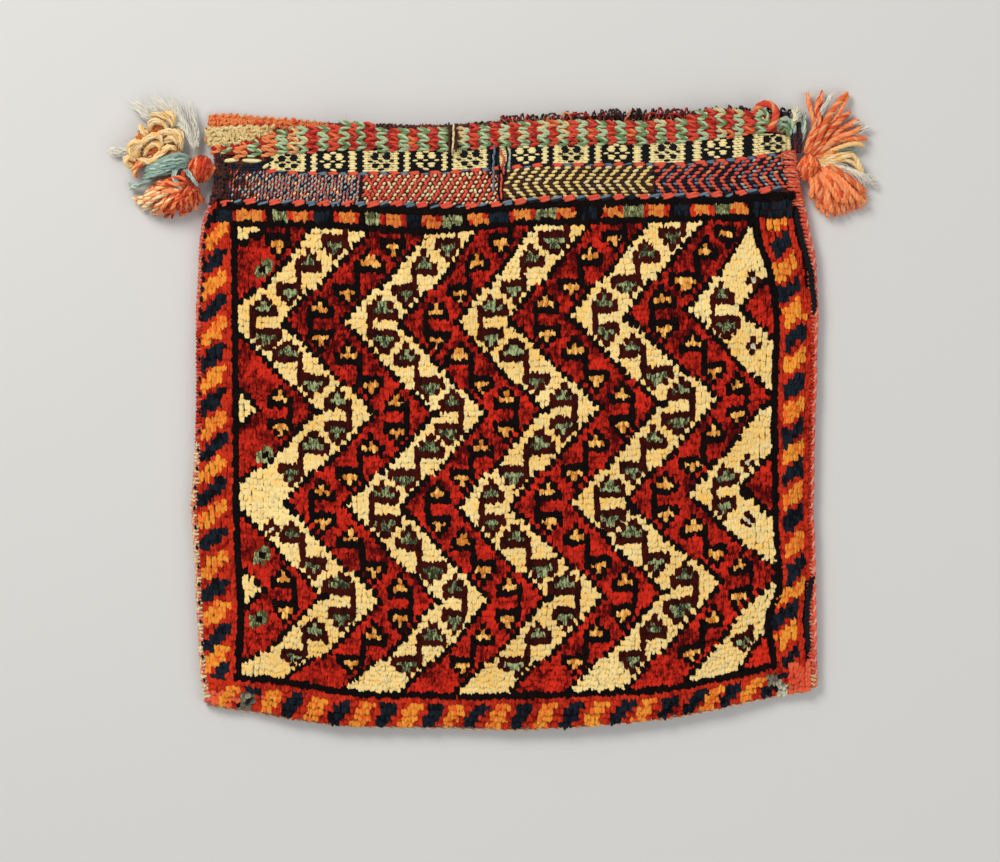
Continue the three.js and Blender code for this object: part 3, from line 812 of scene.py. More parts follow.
def knot_places():
    """Where each knot lies, in outline units, by interpolating between the drawn lines and edges."""
    i, j = np.meshgrid(np.arange(*COLS), np.arange(*ROWS))
    i, j = i.astype(float), j.astype(float)
    x, y = 235 + 5.22 * (i + 1), 226 + 5.78 * (j + 1)
    for _ in range(8):
        xs = [left_edge(y) + 6.0, line_left(y), line_right(y), right_edge(y) - 7.0]
        at = [-7.5, -1.0, 102.0, 108.5]
        nx = np.where(i < at[1], xs[0] + (i - at[0]) / (at[1] - at[0]) * (xs[1] - xs[0]),
                      np.where(i > at[2], xs[2] + (i - at[2]) / (at[3] - at[2]) * (xs[3] - xs[2]),
                               xs[1] + (i - at[1]) / (at[2] - at[1]) * (xs[2] - xs[1])))
        ys = [pile_top(x), line_top(x), line_bottom(x), bottom_edge(x) - 1.0]
        bt = [-4.0, -1.0, 80.0, 85.5]
        ny = np.where(j < bt[1], ys[0] + (j - bt[0]) / (bt[1] - bt[0]) * (ys[1] - ys[0]),
                      np.where(j > bt[2], ys[2] + (j - bt[2]) / (bt[3] - bt[2]) * (ys[3] - ys[2]),
                               ys[1] + (j - bt[1]) / (bt[2] - bt[1]) * (ys[2] - ys[1])))
        x, y = 0.3 * x + 0.7 * nx, 0.3 * y + 0.7 * ny
    x = x + pull_right(y) * np.where(i <= 102, smooth(690, 768, x), 1 - 0.7 * smooth(102, 108, i))
    within = smooth(-1, 5, j) * (1 - smooth(73, 80, j)) * (i > -1) * (i < 102)
    within_x = np.where((i > -1) & (i < 102) & (j > -1) & (j < 80), 1.0, 0.0)
    return x + drift_across(x) * within_x, y + within * (sag_across(x) + 3.5 * np.exp(-((y - 632) / 42) ** 2))


def pile():
    colours = knot_colours()
    x, y = knot_places()
    cols = colours.ravel()
    x, y = x.ravel(), y.ravel()
    n = len(x)
    row = np.repeat(np.arange(colours.shape[0]), colours.shape[1])
    # the weaver's hand: rows waver and knots sit unevenly
    y = y + 0.5 * np.sin(x / 37 + row * 0.9) + rng.normal(0, 0.28, n)
    x = x + rng.normal(0, 0.25, n)
    keep = (y > pile_top(x) - 5)
    for line in EDGE_YARNS:
        beside = np.interp(y, [q[1] for q in line], [q[0] for q in line])
        keep &= (y < line[0][1] - 3) | (y > line[-1][1] + 3) | (x < beside - 4.6)
    knot_tone = rng.normal(0, 0.55, n)
    height = 1 + 0.05 * np.sin(x / 45 + 1) * np.sin(y / 52) + rng.normal(0, 0.035, n)
    # bare, rubbed corners at the fold
    rub = np.maximum(np.exp(-(((x - 248) / 46) ** 2 + ((y - 702) / 12) ** 2)), np.exp(-(((x - 778) / 34) ** 2 + ((y - 690) / 11) ** 2)))
    worn = (rub > rng.uniform(0.3, 1.15, n)) & (x < 500)
    cols = np.where(worn & (cols == C_NAVY), C_WORN, np.where(worn & (cols == C_BRED), C_ROSE, cols))
    cols = np.where((x < 232) & (y > 688) & (cols == C_BRED), C_ROSE, cols)
    cols = np.where((x > 787) & (y > 663 + rng.normal(0, 2, n)) & ((cols == C_BRED) | (cols == C_NAVY) & (y > 672) | (cols == C_ORANGE)), C_ROSE, cols)
    cols = np.where((np.abs(x - 783.5) < 5) & (np.abs(y - 690) < 7), C_PALE, cols)
    cols = np.where((np.abs(x - 775) < 7) & (np.abs(y - 680) < 4.5) & (rng.random(n) < 0.75), C_WORN, cols)
    height = height * (1 - 0.5 * rub)
    clouds = {}
    m = keep
    k = int(m.sum())
    c = cols[m]

    def keep_points(pts, rings, sides, tone):
        for code in np.unique(c):
            w = c == code
            clouds.setdefault(code, []).append((pts[w] * MM, rings, sides, tone[w]))

    # each knot shows two locks, lying over one another towards the bottom like shingles
    fat = np.ones(15)
    fat[[C_BLACK, C_BROWN, C_NAVY, C_GREEN, C_FRAME]] = 1.28, 1.26, 1.1, 1.04, 1.34
    raised = np.zeros(15)
    raised[[C_BLACK, C_BROWN, C_NAVY, C_FRAME]] = 0.17, 0.18, 0.1, 0.2
    h = 4.4 * height[m] + raised[c]
    sections = {0: ((1.0, -0.45), (0.0, 0.9), (-1.0, -0.45)), 1: ((1.0, -0.45), (0.5, 0.9), (-0.5, 0.9), (-1.0, -0.45))}
    for side, share, deep in ((0, 1.5, 0.5), (-1, 1.0, 0.0), (1, 1.0, 0.0)):
        xx = x[m] + side * 1.31 + rng.normal(0, 0.42, k) * abs(side)
        yy = y[m] + rng.normal(0, 0.85, k) * abs(side)
        top = front_height(xx, yy) - 0.2 + h + rng.normal(0, 0.08, k) - deep
        px, py = mx(xx) / MM, my(yy) / MM
        back, front = 1.9 + rng.normal(0, 0.2, k), (1.75 + rng.normal(0, 0.4, k)) * (0.6 + 0.4 * fat[c])
        wide = 0.88 * share * fat[c] * rng.uniform(0.88, 1.14, k)
        tall = 0.34
        sway = rng.normal(0, 0.3, k)
        section = sections[abs(side)]
        sides = len(section)
        pts = np.zeros((k, 3 * sides + 1, 3))
        for r, (at_y, at_z, girth, across) in enumerate(((back, -0.92, 0.9, 0.0), (0.15 + 0 * back, -0.42, 1.0, 0.4), (-0.66 * front, -0.32, 0.8, 0.8))):
            for q, (sx, sz) in enumerate(section):
                pts[:, r * sides + q, 0] = px + sway * across + girth * wide * sx
                pts[:, r * sides + q, 1] = py + at_y
                pts[:, r * sides + q, 2] = top + at_z + girth * tall * sz
        pts[:, -1, 0], pts[:, -1, 1], pts[:, -1, 2] = px + sway * 1.2, py - front, top - 0.5
        keep_points(pts, 3, sides, knot_tone[m] * 0.5 + rng.normal(0, 0.5, k))
    # a thinner strand across the join of two locks, so that they run together
    xx = x[m] + rng.normal(0, 0.9, k)
    yy = y[m] - 0.8 + rng.normal(0, 1.2, k)
    top = front_height(xx, yy) - 0.2 + h + rng.normal(0.02, 0.08, k)
    px, py = mx(xx) / MM, my(yy) / MM
    sway = rng.normal(0, 0.5, k)
    pts = np.zeros((k, 7, 3))
    for r, (at_y, at_z, girth, across) in enumerate(((1.3, -0.7, 0.46, -0.5), (-0.6, -0.3, 0.5, 0.4))):
        for q, (sx, sz) in enumerate(((1.0, -0.4), (0.0, 0.7), (-1.0, -0.4))):
            pts[:, r * 3 + q, 0] = px + sway * across + girth * sx
            pts[:, r * 3 + q, 1] = py + at_y
            pts[:, r * 3 + q, 2] = top + at_z + girth * sz
    pts[:, 6, 0], pts[:, 6, 1], pts[:, 6, 2] = px + sway, py - 1.7, top - 0.45
    tone = rng.normal(0.1, 0.8, k)
    for code in (C_IVORY, C_RED, C_GREEN, C_GOLD, C_BRED, C_ORANGE, C_PALE, C_BROWN, C_OLIVE, C_AMBER, C_ROSE):
        w = c == code
        if w.any():
            clouds.setdefault(code, []).append((pts[w] * MM, 2, 3, tone[w]))
    groups = {"ivory_pile": [C_IVORY], "red_pile": [C_RED], "black_pile": [C_BLACK, C_FRAME], "dark_pile": [C_BROWN, C_NAVY],
              "accent_pile": [C_GREEN, C_GOLD, C_PALE, C_OLIVE, C_AMBER], "border_pile": [C_BRED, C_ORANGE, C_WORN, C_ROSE]}
    mats = {C_IVORY: IVORY, C_RED: RED, C_BLACK: BLACK, C_BROWN: BROWN, C_GREEN: GREEN, C_GOLD: GOLD, C_NAVY: NAVY, C_BRED: BORDER_RED, C_ORANGE: ORANGE, C_WORN: WORN, C_PALE: PALE, C_OLIVE: OLIVE, C_AMBER: AMBER, C_FRAME: BLACK, C_ROSE: ROSE}
    made = []
    for name, codes in groups.items():
        cloud = Cloud()
        for k, code in enumerate(codes):
            for pts, rings, sides, tone in clouds.get(code, []):
                cloud.add(pts, rings, sides, False, True, tone, k, wrap=False)
        obj = cloud.make(name, [mats[c] for c in codes])
        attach(obj, "bag")
        made.append(obj)
    return made


pile_pieces = pile()

# ---------------------------------------------------------------------------------------------
# The flat-woven bands at the mouth, stitch by stitch
# ---------------------------------------------------------------------------------------------
def band_stitches():
    cloud = Cloud()
    mats = [FLAT_IVORY, FLAT_BLACK, SALMON, CREAM, SKY, MIST, INK, UMBER, YELLOW, BERRY, NAVY, PLAIT_PEACH]
    (M_IVORY, M_BLACK, M_SALMON, M_CREAM, M_SKY, M_MIST, M_INK, M_UMBER, M_YELLOW, M_BERRY, M_NAVY, M_PEACH) = range(12)

    def lay(x, y, angle, length, width, mat, lift=0.0, height=None, rings=3, sides=5, arch=0.0):
        x, y = np.asarray(x, float), np.asarray(y, float)
        z = (front_height(x, y) + lift) * MM
        length, width = np.asarray(length, float) * UNIT, np.asarray(width, float) * UNIT
        height = width * 0.85 if height is None else np.asarray(height, float) * UNIT
        cloud.add(grains(mx(x), my(y), z, angle, length, width, height, rings, sides, arch * MM), rings, sides, True, True, rng.normal(0, 0.5, len(x)), mat)

    # compartments: pale and dark blocks in turn, barred between, each with a rosette laid over it
    pale, dark = [288, 381, 470, 571, 667, 773], [333, 426, 526, 617, 717]
    blocks, edges = [], sorted([(c, 17.5 if c < 760 else 19.8, M_IVORY) for c in pale] + [(c, 16.0, M_BLACK) for c in dark])
    for (c, half, mat), following in zip(edges, edges[1:] + [None]):
        blocks.append((c - half, c + half, mat))
        if following:
            x0, x1 = c + half, following[0] - following[1]
            other = M_BLACK if mat == M_IVORY else M_IVORY
            blocks += [(x0, (x0 + x1) / 2, other), ((x0 + x1) / 2, x1, mat)]
    rows = 9
    for r in range(rows):
        for x0, x1, mat in blocks:
            a, b = x0 + (0.75 if r % 2 else -0.75), x1 + (0.75 if r % 2 else -0.75)
            n = max(1, int(round((b - a) / 5.6)))
            size = (b - a) / n
            x = a + size * (np.arange(n) + 0.5)
            top, low = front_rim(x) - 0.5, band_low(x)
            y = top + (low - top) * (r + 0.5) / rows + rng.normal(0, 0.1, n)
            lay(x, y, rng.normal(0, 0.04, n), size * 1.12, 3.0, mat, 0.25, height=2.4)
    for c, half, mat in edges:
        mark = M_BLACK if mat == M_IVORY else M_IVORY
        petals = [(-6.0, -4.6, 8.2, 5.8), (6.0, -4.6, 8.2, 5.8), (-5.7, 4.3, 7.4, 4.8), (5.7, 4.3, 7.4, 4.8), (0, -8.6, 6.2, 3.0), (0, 8.2, 6.2, 2.8), (0, 0, 5.2, 1.9), (-10.6, 0, 5.0, 2.0), (10.6, 0, 5.0, 2.0)]
        for dx, dy, wide, high in petals:
            n = 3 if high > 5.2 else 2 if high > 3.6 else 1
            for q in range(n):
                xq = np.array([c + dx + rng.normal(0, 0.35)])
                mid = (front_rim(xq) - 0.5 + band_low(xq)) / 2
                tall = (band_low(xq) - front_rim(xq)) / 20.5
                yq = mid + (dy + (q - (n - 1) / 2) * 2.1) * tall + rng.normal(0, 0.15)
                size = wide * ((0.8, 1.12, 0.86) if n == 3 else (1.08, 0.84) if n == 2 else (1.05,))[q]
                lay(xq, yq, rng.normal(0.03, 0.09, 1), size, 3.0 if n > 1 else high, mark, 0.8, height=2.9, rings=4)
    # the left end of the band, mostly rolled in under the plait
    lay([231, 252, 262, 266, 270], [159.5, 160.5, 163, 166, 160], [0.1, -0.05, 0.3, 0.6, 0.2], [17, 21, 9, 8, 9], [4.6, 4.6, 4.5, 4.0, 4.5], [M_IVORY, M_IVORY, M_BLACK, M_IVORY, M_BLACK], 0.6, rings=6)
    x = np.arange(216, 272, 4.4)
    for r in range(3):
        lay(x + 2 * (r % 2), 163.5 + 2.7 * r + 0 * x, 0.1, 6.0, 3.4, np.where(rng.random(len(x)) < 0.6, M_INK, M_UMBER), 0.1)

    # brocade: four lengths, each two-coloured, its stitches in slanting columns
    for part, (x0, x1, pitch, rows) in enumerate(((214, 361, 6.6, 11), (362.5, 500, 9.1, 8), (504, 653, 10.2, 9), (656, 790, 10.8, 9))):
        for r in range(rows):
            f = (r + 0.5) / rows
            n = np.arange(-10, int((x1 - x0) / pitch) + 12)

            def run(off, length, width, angle, choose, lift):
                if part == 0:
                    shift = pitch / 2 * (r % 2) - 0.25 * r
                elif part == 1:
                    shift = -2.5 * r
                elif part == 2:
                    shift = 3.0 * abs(r - 4.2)
                else:
                    shift = 3.6 * (4.4 - r) if r < 4.4 else 2.7 * (r - 4.4)
                x = x0 + n * pitch + shift + off * pitch
                ok = (x > x0 + 1.2) & (x < x1 - 1.2)
                x = x[ok] + rng.normal(0, 0.3, ok.sum())
                top, low = band_low(x) + 2.6, brocade_low(x) + 0.5
                y = top + (low - top) * f + rng.normal(0, 0.22, len(x))
                lay(x, y, angle + rng.normal(0, 0.16, len(x)), length * rng.uniform(0.88, 1.12, len(x)), width * (1.3 if lift < 0 else 1.0), choose(x, rng.random(len(x))), lift, rings=2 if lift < 0 else 3, sides=4 if lift < 0 else 5)

            pickone = lambda *rows_: (lambda x, q: np.select([q < c for c, _ in rows_], [m_ for _, m_ in rows_]))
            if part == 0:
                near = lambda x: np.clip((x - 218) / 44, 0.12, 1)
                sort = lambda bright, dim: (lambda x, q: np.where(rng.random(len(x)) < near(x), bright(x, q), dim(x, q)))
                dim = pickone((0.55, M_UMBER), (0.85, M_BERRY), (1.01, M_INK))
                run(0.0, 6.4, 3.6, 0.0, pickone((0.85, M_INK), (1.01, M_UMBER)), -0.15)
                run(0.5, 6.4, 3.6, 0.0, pickone((0.85, M_INK), (1.01, M_UMBER)), -0.15)
                run(0.0, 3.5, 2.5, 0.9, sort(pickone((0.62, M_MIST), (0.9, M_SKY), (1.01, M_CREAM)), dim), 0.55)
                run(0.5, 6.0, 1.9, math.radians(72), sort(pickone((0.5, M_SALMON), (0.72, M_PEACH), (0.84, M_BERRY), (1.01, M_INK)), dim), 0.42)
            elif part == 1:
                run(0.0, 8.0, 4.0, 0.0, pickone((0.8, M_BERRY), (1.01, M_UMBER)), -0.2)
                run(0.5, 8.0, 4.0, 0.0, pickone((0.8, M_BERRY), (1.01, M_UMBER)), -0.2)
                run(0.0, 3.9, 3.3, 0.7, lambda x, q: np.where((x < 388) & (q < 0.35), M_SALMON, M_CREAM), 0.5)
                run(0.52, 6.0, 3.3, math.radians(58 if r % 2 else 112), pickone((0.93, M_SALMON), (1.01, M_CREAM)), 0.35)
            elif part == 2:
                run(0.0, 8.0, 4.2, 0.0, pickone((1.01, M_UMBER)), -0.2)
                run(0.5, 5.4, 4.0, 0.25 if r < 4.2 else -0.25, pickone((1.01, M_UMBER)), 0.3)
                run(0.0, 6.6, 3.4, 0.22 if r < 4.2 else -0.22, pickone((0.86, M_YELLOW), (1.01, M_CREAM)), 0.5)
            else:
                run(0.0, 8.0, 4.2, 0.0, pickone((0.8, M_INK), (1.01, M_UMBER)), -0.2)
                run(0.32, 4.4, 3.2, 0.25 if r < 4.4 else -0.3, pickone((1.01, M_INK)), 0.3)
                run(0.6, 4.6, 3.0, 0.25 if r < 4.4 else -0.3, lambda x, q: np.where(q < 0.5 + 0.3 * (x > 735), np.where((x > 735) & (q < 0.4), M_MIST, M_SKY), M_INK), 0.42)
                run(0.0, 6.0, 3.5, 0.28 if r < 4.4 else -0.32, pickone((0.95, M_SALMON), (1.01, M_PEACH)), 0.5)
    # dark edges between the four lengths
    for x0 in (361.5, 502, 654.5):
        y = np.linspace(band_low(x0) + 3, brocade_low(x0) - 2, 9)
        lay(np.full(9, x0), y, math.pi / 2, 5.0, 2.2, M_INK, 0.35)

    # twined lines, red and blue in turn, above and below the brocade, two strands to each stitch
    for line, lo, hi, step, size in ((brocade_low, 222, 778, 24.5, (12.6, 10.6, 4.1)), (band_low, 268, 768, 20.4, (11.0, 8.5, 2.4))):
        x = np.arange(lo + 4, hi, step)
        drop, lift, slope = (0.8, 3.6, 0.26) if line is brocade_low else (1.3, 0.7, 0.1)
        for off in (-0.42, 0.42):
            lay(x + 1.5 * off, line(x) + drop + 0.7 * off * size[2], slope + rng.normal(0, 0.07, len(x)), size[0] * rng.uniform(0.82, 1.12, len(x)), size[2] * rng.uniform(0.85, 1.15, len(x)), M_SALMON, lift, rings=5)
            x2 = x + step / 2
            lay(x2 + 1.5 * off, line(x2) + drop + 0.3 + 0.7 * off * size[2], slope + rng.normal(0, 0.07, len(x)), size[1] * rng.uniform(0.82, 1.12, len(x)), size[2] * 0.9, np.where(rng.random(len(x)) < 0.7, M_SKY, M_INK), lift - 0.25, rings=5)
    # old mends: upright stitches in dark blue and white through the bands
    for x0, y0, y1, mat in ((490, 141, 176, M_INK), (494, 143, 190, M_SKY), (498.5, 146, 206, M_NAVY), (502, 150, 200, M_SALMON), (506, 144, 182, M_NAVY), (509, 150, 168, M_MIST),
                            (449, 124, 153, M_UMBER), (453, 126, 151, M_CREAM), (456, 128, 154, M_UMBER)):
        y = np.arange(y0 + 3, y1, 6.2)
        lay(x0 + rng.normal(0, 0.8, len(y)), y, math.pi / 2 + rng.normal(0, 0.12, len(y)), 8.0, 2.4, mat, 1.2 if y0 > 135 else 3.6)
    return cloud.make("mouth_bands", mats)


bands = band_stitches()
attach(bands, "bag")

# ---------------------------------------------------------------------------------------------
# The mouth: plait along the front rim, rolled edge and loops along the back rim
# ---------------------------------------------------------------------------------------------
def at(x, y, z):
    return (float(mx(x)), float(my(y)), z * MM)


def pick(a, b):
    return rng.uniform(a, b)


def rim_height(x):
    return BACK + standing_open(np.clip((np.asarray(x, float) - 215) / 575, 0, 1), 1.0)


plait_top = table([(205, 141), (262, 131), (290, 128), (310, 126), (340, 124), (352, 121), (365, 122.5), (385, 129), (440, 128.5), (475, 126), (505, 123.5), (535, 120.5), (600, 120.5), (645, 121), (683, 119), (698, 112), (715, 108.5), (741, 109.5), (765, 110.5), (790, 118)])
roll_top = table([(205, 117), (208, 113.6), (213, 112.4), (230, 113), (260, 115), (300, 118.5), (322, 121.5), (340, 124.5)])
end_left = table([(110, 212), (113, 209), (120, 206), (132, 204.2), (142, 204.6), (150, 207.5), (156, 212)])


def plait():
    cloud = Cloud()
    mats = [PLAIT_RED, PLAIT_GREEN, PLAIT_TAN, RIM_ORANGE, PLAIT_DARK_AND_SHADE, PLAIT_MOSS_AND_SHADE, RIM_BROWN, INK, CREAM, PLAIT_PEACH]
    # R and G stitches pair a ply in the plait colour with a ply in its darker copy; the darker ply is painted shade
    R, G, T, O, B = (0, 4), (1, 5), (2, 9), (3, 9), (6, 8)
    columns = [(215.5, 11.5, O, 143.5, 153.8), (227, 11, G, 143, 153.0), (240, 13.5, O, 141.5, 157.5), (254.5, 14, G, 138.5, 157), (269.5, 15.5, O, 131, 156.5), (282.5, 12.5, G, 130, 154),
               (292.5, 11, T, 127.5, 155), (302.5, 12, G, 126.5, 153.5), (313, 13, R, 126, 153.5), (323.5, 12, G, 126, 151), (334, 12, R, 125, 151.5), (344.5, 12.5, G, 121, 151),
               (353.5, 10, R, 123.5, 150), (361, 10.5, G, 121.5, 151), (370, 11.2, R, 122.5, 151), (382, 12.6, G, None, None)]
    x = 394.0
    for k, gap in enumerate((9.4, 9.2, 10.6, 10.4, 10, 10, 11, 11)):
        columns.append((x, 11.0 if k % 2 == 0 else 12.8, (R, G)[k % 2] if k != 6 else B, None, None))
        x += gap
    columns[-2] = (452.5, 9, B, 127, 153)
    columns[-1] = (463.5, 12.5, G, None, None)
    for k in range(18):
        columns.append((475 + 9.75 * k, 10.8 if k % 2 == 0 else 12.8, (R, G)[k % 2], None, None))
    for x, w, m in ((650.5, 10.6, R), (660, 12.2, G), (670.5, 10.6, R), (681, 13, G), (692, 12.6, R), (702, 12.6, G), (711, 10.4, R), (720.5, 12.2, G), (729.5, 10.6, R), (737.5, 11.8, G), (748, 14, R), (759, 13.2, G)):
        columns.append((x, w, m, None, None))
    for x, w, m, top, foot in columns:
        top = float(plait_top(x)) + rng.normal(0, 0.7) if top is None else top
        foot = float(front_rim(x)) + 1.2 + rng.normal(0, 0.4) if foot is None else foot
        n = max(1, int(round((foot - top) / 8.7)))
        h = (foot - top) / n
        base = float(rim_height(x)) + 2.5
        lift = lambda y: base + 1.5 * (1 - (2 * min(1, max(0, (y - top) / (foot - top))) - 1) ** 2)
        if m == B:
            for off, mm in ((-3.2, 6), (0.4, 8), (3.4, 6), (-0.8, 6)):
                yarn(cloud, [at(x + off + pick(-1, 1), top + pick(-1, 3), base), at(x + off, top + 8, base + 1.6), at(x + off + pick(-0.6, 0.6), foot - 7, base + 1.9), at(x + off + pick(-1.5, 1.5), foot + pick(0, 3), base - 0.4)],
                     0.00058, 2, 5, 0.0014, 0.005, rng.normal(0, 0.4), mm, fuzz=5)
            continue
        lean = rng.normal(0, 0.8)
        for c in range(n):
            y0 = top + c * h + rng.normal(0, 0.35)
            side = lean * (c - n / 2) / n * 2 + rng.normal(0, 0.4)
            xl, xr = x - w / 2 + side, x + w / 2 + side
            mid = y0 + h * (0.5 + rng.normal(0, 0.04))
            shade = rng.normal(0, 0.45)
            odd = rng.random()
            mm = m if odd > 0.3 else ((2, 1) if m == G and odd < 0.1 else (1, 1) if m == G else (3, 0) if m == R and odd < 0.14 else (0, 0) if m == R else m)
            for ya, yb, first in ((y0 + 0.9, mid - 0.6, True), (mid + 1.3, y0 + h - 0.7, False)):
                pts = [(xl, ya), (x + side + w * 0.1, ya + (mid - ya) * 0.42), (xr, mid)] if first else [(xr, mid + 0.4), (x + side + w * 0.1, yb - (yb - mid) * 0.42), (xl, yb)]
                zs = [lift(q[1]) + dz for q, dz in zip(pts, (-0.5, 0.35, -0.35) if first else (-0.35, 0.35, -0.5))]
                yarn(cloud, [at(q[0], q[1], z) for q, z in zip(pts, zs)], 0.00115 * rng.uniform(0.92, 1.1), 2, 5, 0.0014, 0.0068, shade, mm, ends=(0.7, 0.7), fuzz=3)
    # the knitted left end: short pale loops, every way
    low = table([(203, 149), (212, 145.5), (222, 143.5), (234, 142.5), (247, 139.5), (258, 136), (264, 131.5), (274, 129.5)])
    for r, y in enumerate(np.arange(128.0, 150, 3.5)):
        for k, x in enumerate(np.arange(204 + 2.1 * (r % 2), 274, 4.3)):
            xx, yy = x + rng.normal(0, 0.6), y + rng.normal(0, 0.6)
            if yy > low(xx) + 0.8 or xx < end_left(yy) + 1.0:
                continue
            z = float(rim_height(xx)) + 2.4 + 1.6 * math.sin(math.pi * min(1, max(0.1, (yy - 112) / 46))) - 1.6 * max(0, 1 - (xx - end_left(yy)) / 9)
            turn = math.radians((42 if (k + r) % 2 else -42) + rng.normal(0, 16))
            c, s = 2.9 * math.cos(turn), 2.9 * math.sin(turn)
            near = rng.random() < 0.10
            yarn(cloud, [at(xx - c, yy - s, z - 0.5), at(xx + rng.normal(0, 0.5), yy + rng.normal(0, 0.5), z + 0.45), at(xx + c, yy + s, z - 0.5)], 0.00108, 2, 5, 0.0015, 0.006, rng.normal(0, 0.5), (9, 2) if near else (2, 8) if rng.random() < 0.45 else 2, ends=(0.7, 0.7), fuzz=3)
    # black stitches of a mend in the hump, and a dark one further along
    for x, y in ((358, 126), (357, 138), (742, 118)):
        for k in range(3):
            yarn(cloud, [at(x - 4 + pick(-1, 1), y - 2 + 2 * k, 8.0), at(x, y - 2 + 2 * k + pick(-1, 1), 9.2), at(x + 4, y - 1 + 2 * k, 8.0)], 0.0006, 2, 5, 0.0013, 0.005, 0.0, 7, fuzz=2)
    # the core the stitches are worked over
    xs = np.linspace(212, 786, 70)
    high, foot = np.minimum(plait_top(xs), 145), front_rim(xs)
    line = np.stack([mx(xs), my((high + foot) / 2 - 0.5), (rim_height(xs) + 1.9) * MM], -1)
    pts = tube_points(line, 0.0022, 8)
    ring = pts[0, :-2].reshape(len(xs), 8, 3) - line[:, None]
    ring[:, :, 1] *= ((foot - high) / 2 * 0.86 * UNIT / 0.0022)[:, None]
    ring[:, :, 2] *= 0.95
    pts[0, :-2] = (ring + line[:, None]).reshape(-1, 3)
    cloud.add(pts, len(xs), 8, True, True, -0.3, 4)
    xs = np.linspace(206.5, 272, 14)
    half = np.interp(xs, [206.5, 212, 250, 272], [6.5, 10.5, 8.5, 5.0])
    line = np.stack([mx(xs), my(np.interp(xs, [206.5, 250, 272], [135.5, 135, 132])), (rim_height(xs) + 2.1) * MM], -1)
    pts = tube_points(line, 0.0016, 8)
    ring = pts[0, :-2].reshape(len(xs), 8, 3) - line[:, None]
    ring[:, :, 1] *= (half * UNIT / 0.0016)[:, None]
    pts[0, :-2] = (ring + line[:, None]).reshape(-1, 3)
    cloud.add(pts, len(xs), 8, True, True, -0.8, 2)
    # loose fibres along the top
    n = 330
    x = rng.uniform(264, 770, n)
    start = np.stack([mx(x), my(plait_top(x) + rng.uniform(0, 5, n)), (rim_height(x) + rng.uniform(2.6, 4.2, n)) * MM], -1)
    way = np.stack([rng.normal(0, 0.8, n), np.ones(n), rng.normal(0.1, 0.4, n)], -1)
    hairs(cloud, start, way, rng.uniform(0.0012, 0.0034, n), rng.choice([0, 9, 6, 1, 9, 6], n), 0.00011, 0.8)
    return cloud.make("mouth_plait_stitches", mats)


plaited = plait()
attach(plaited, "bag")
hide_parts("mouth_plait")


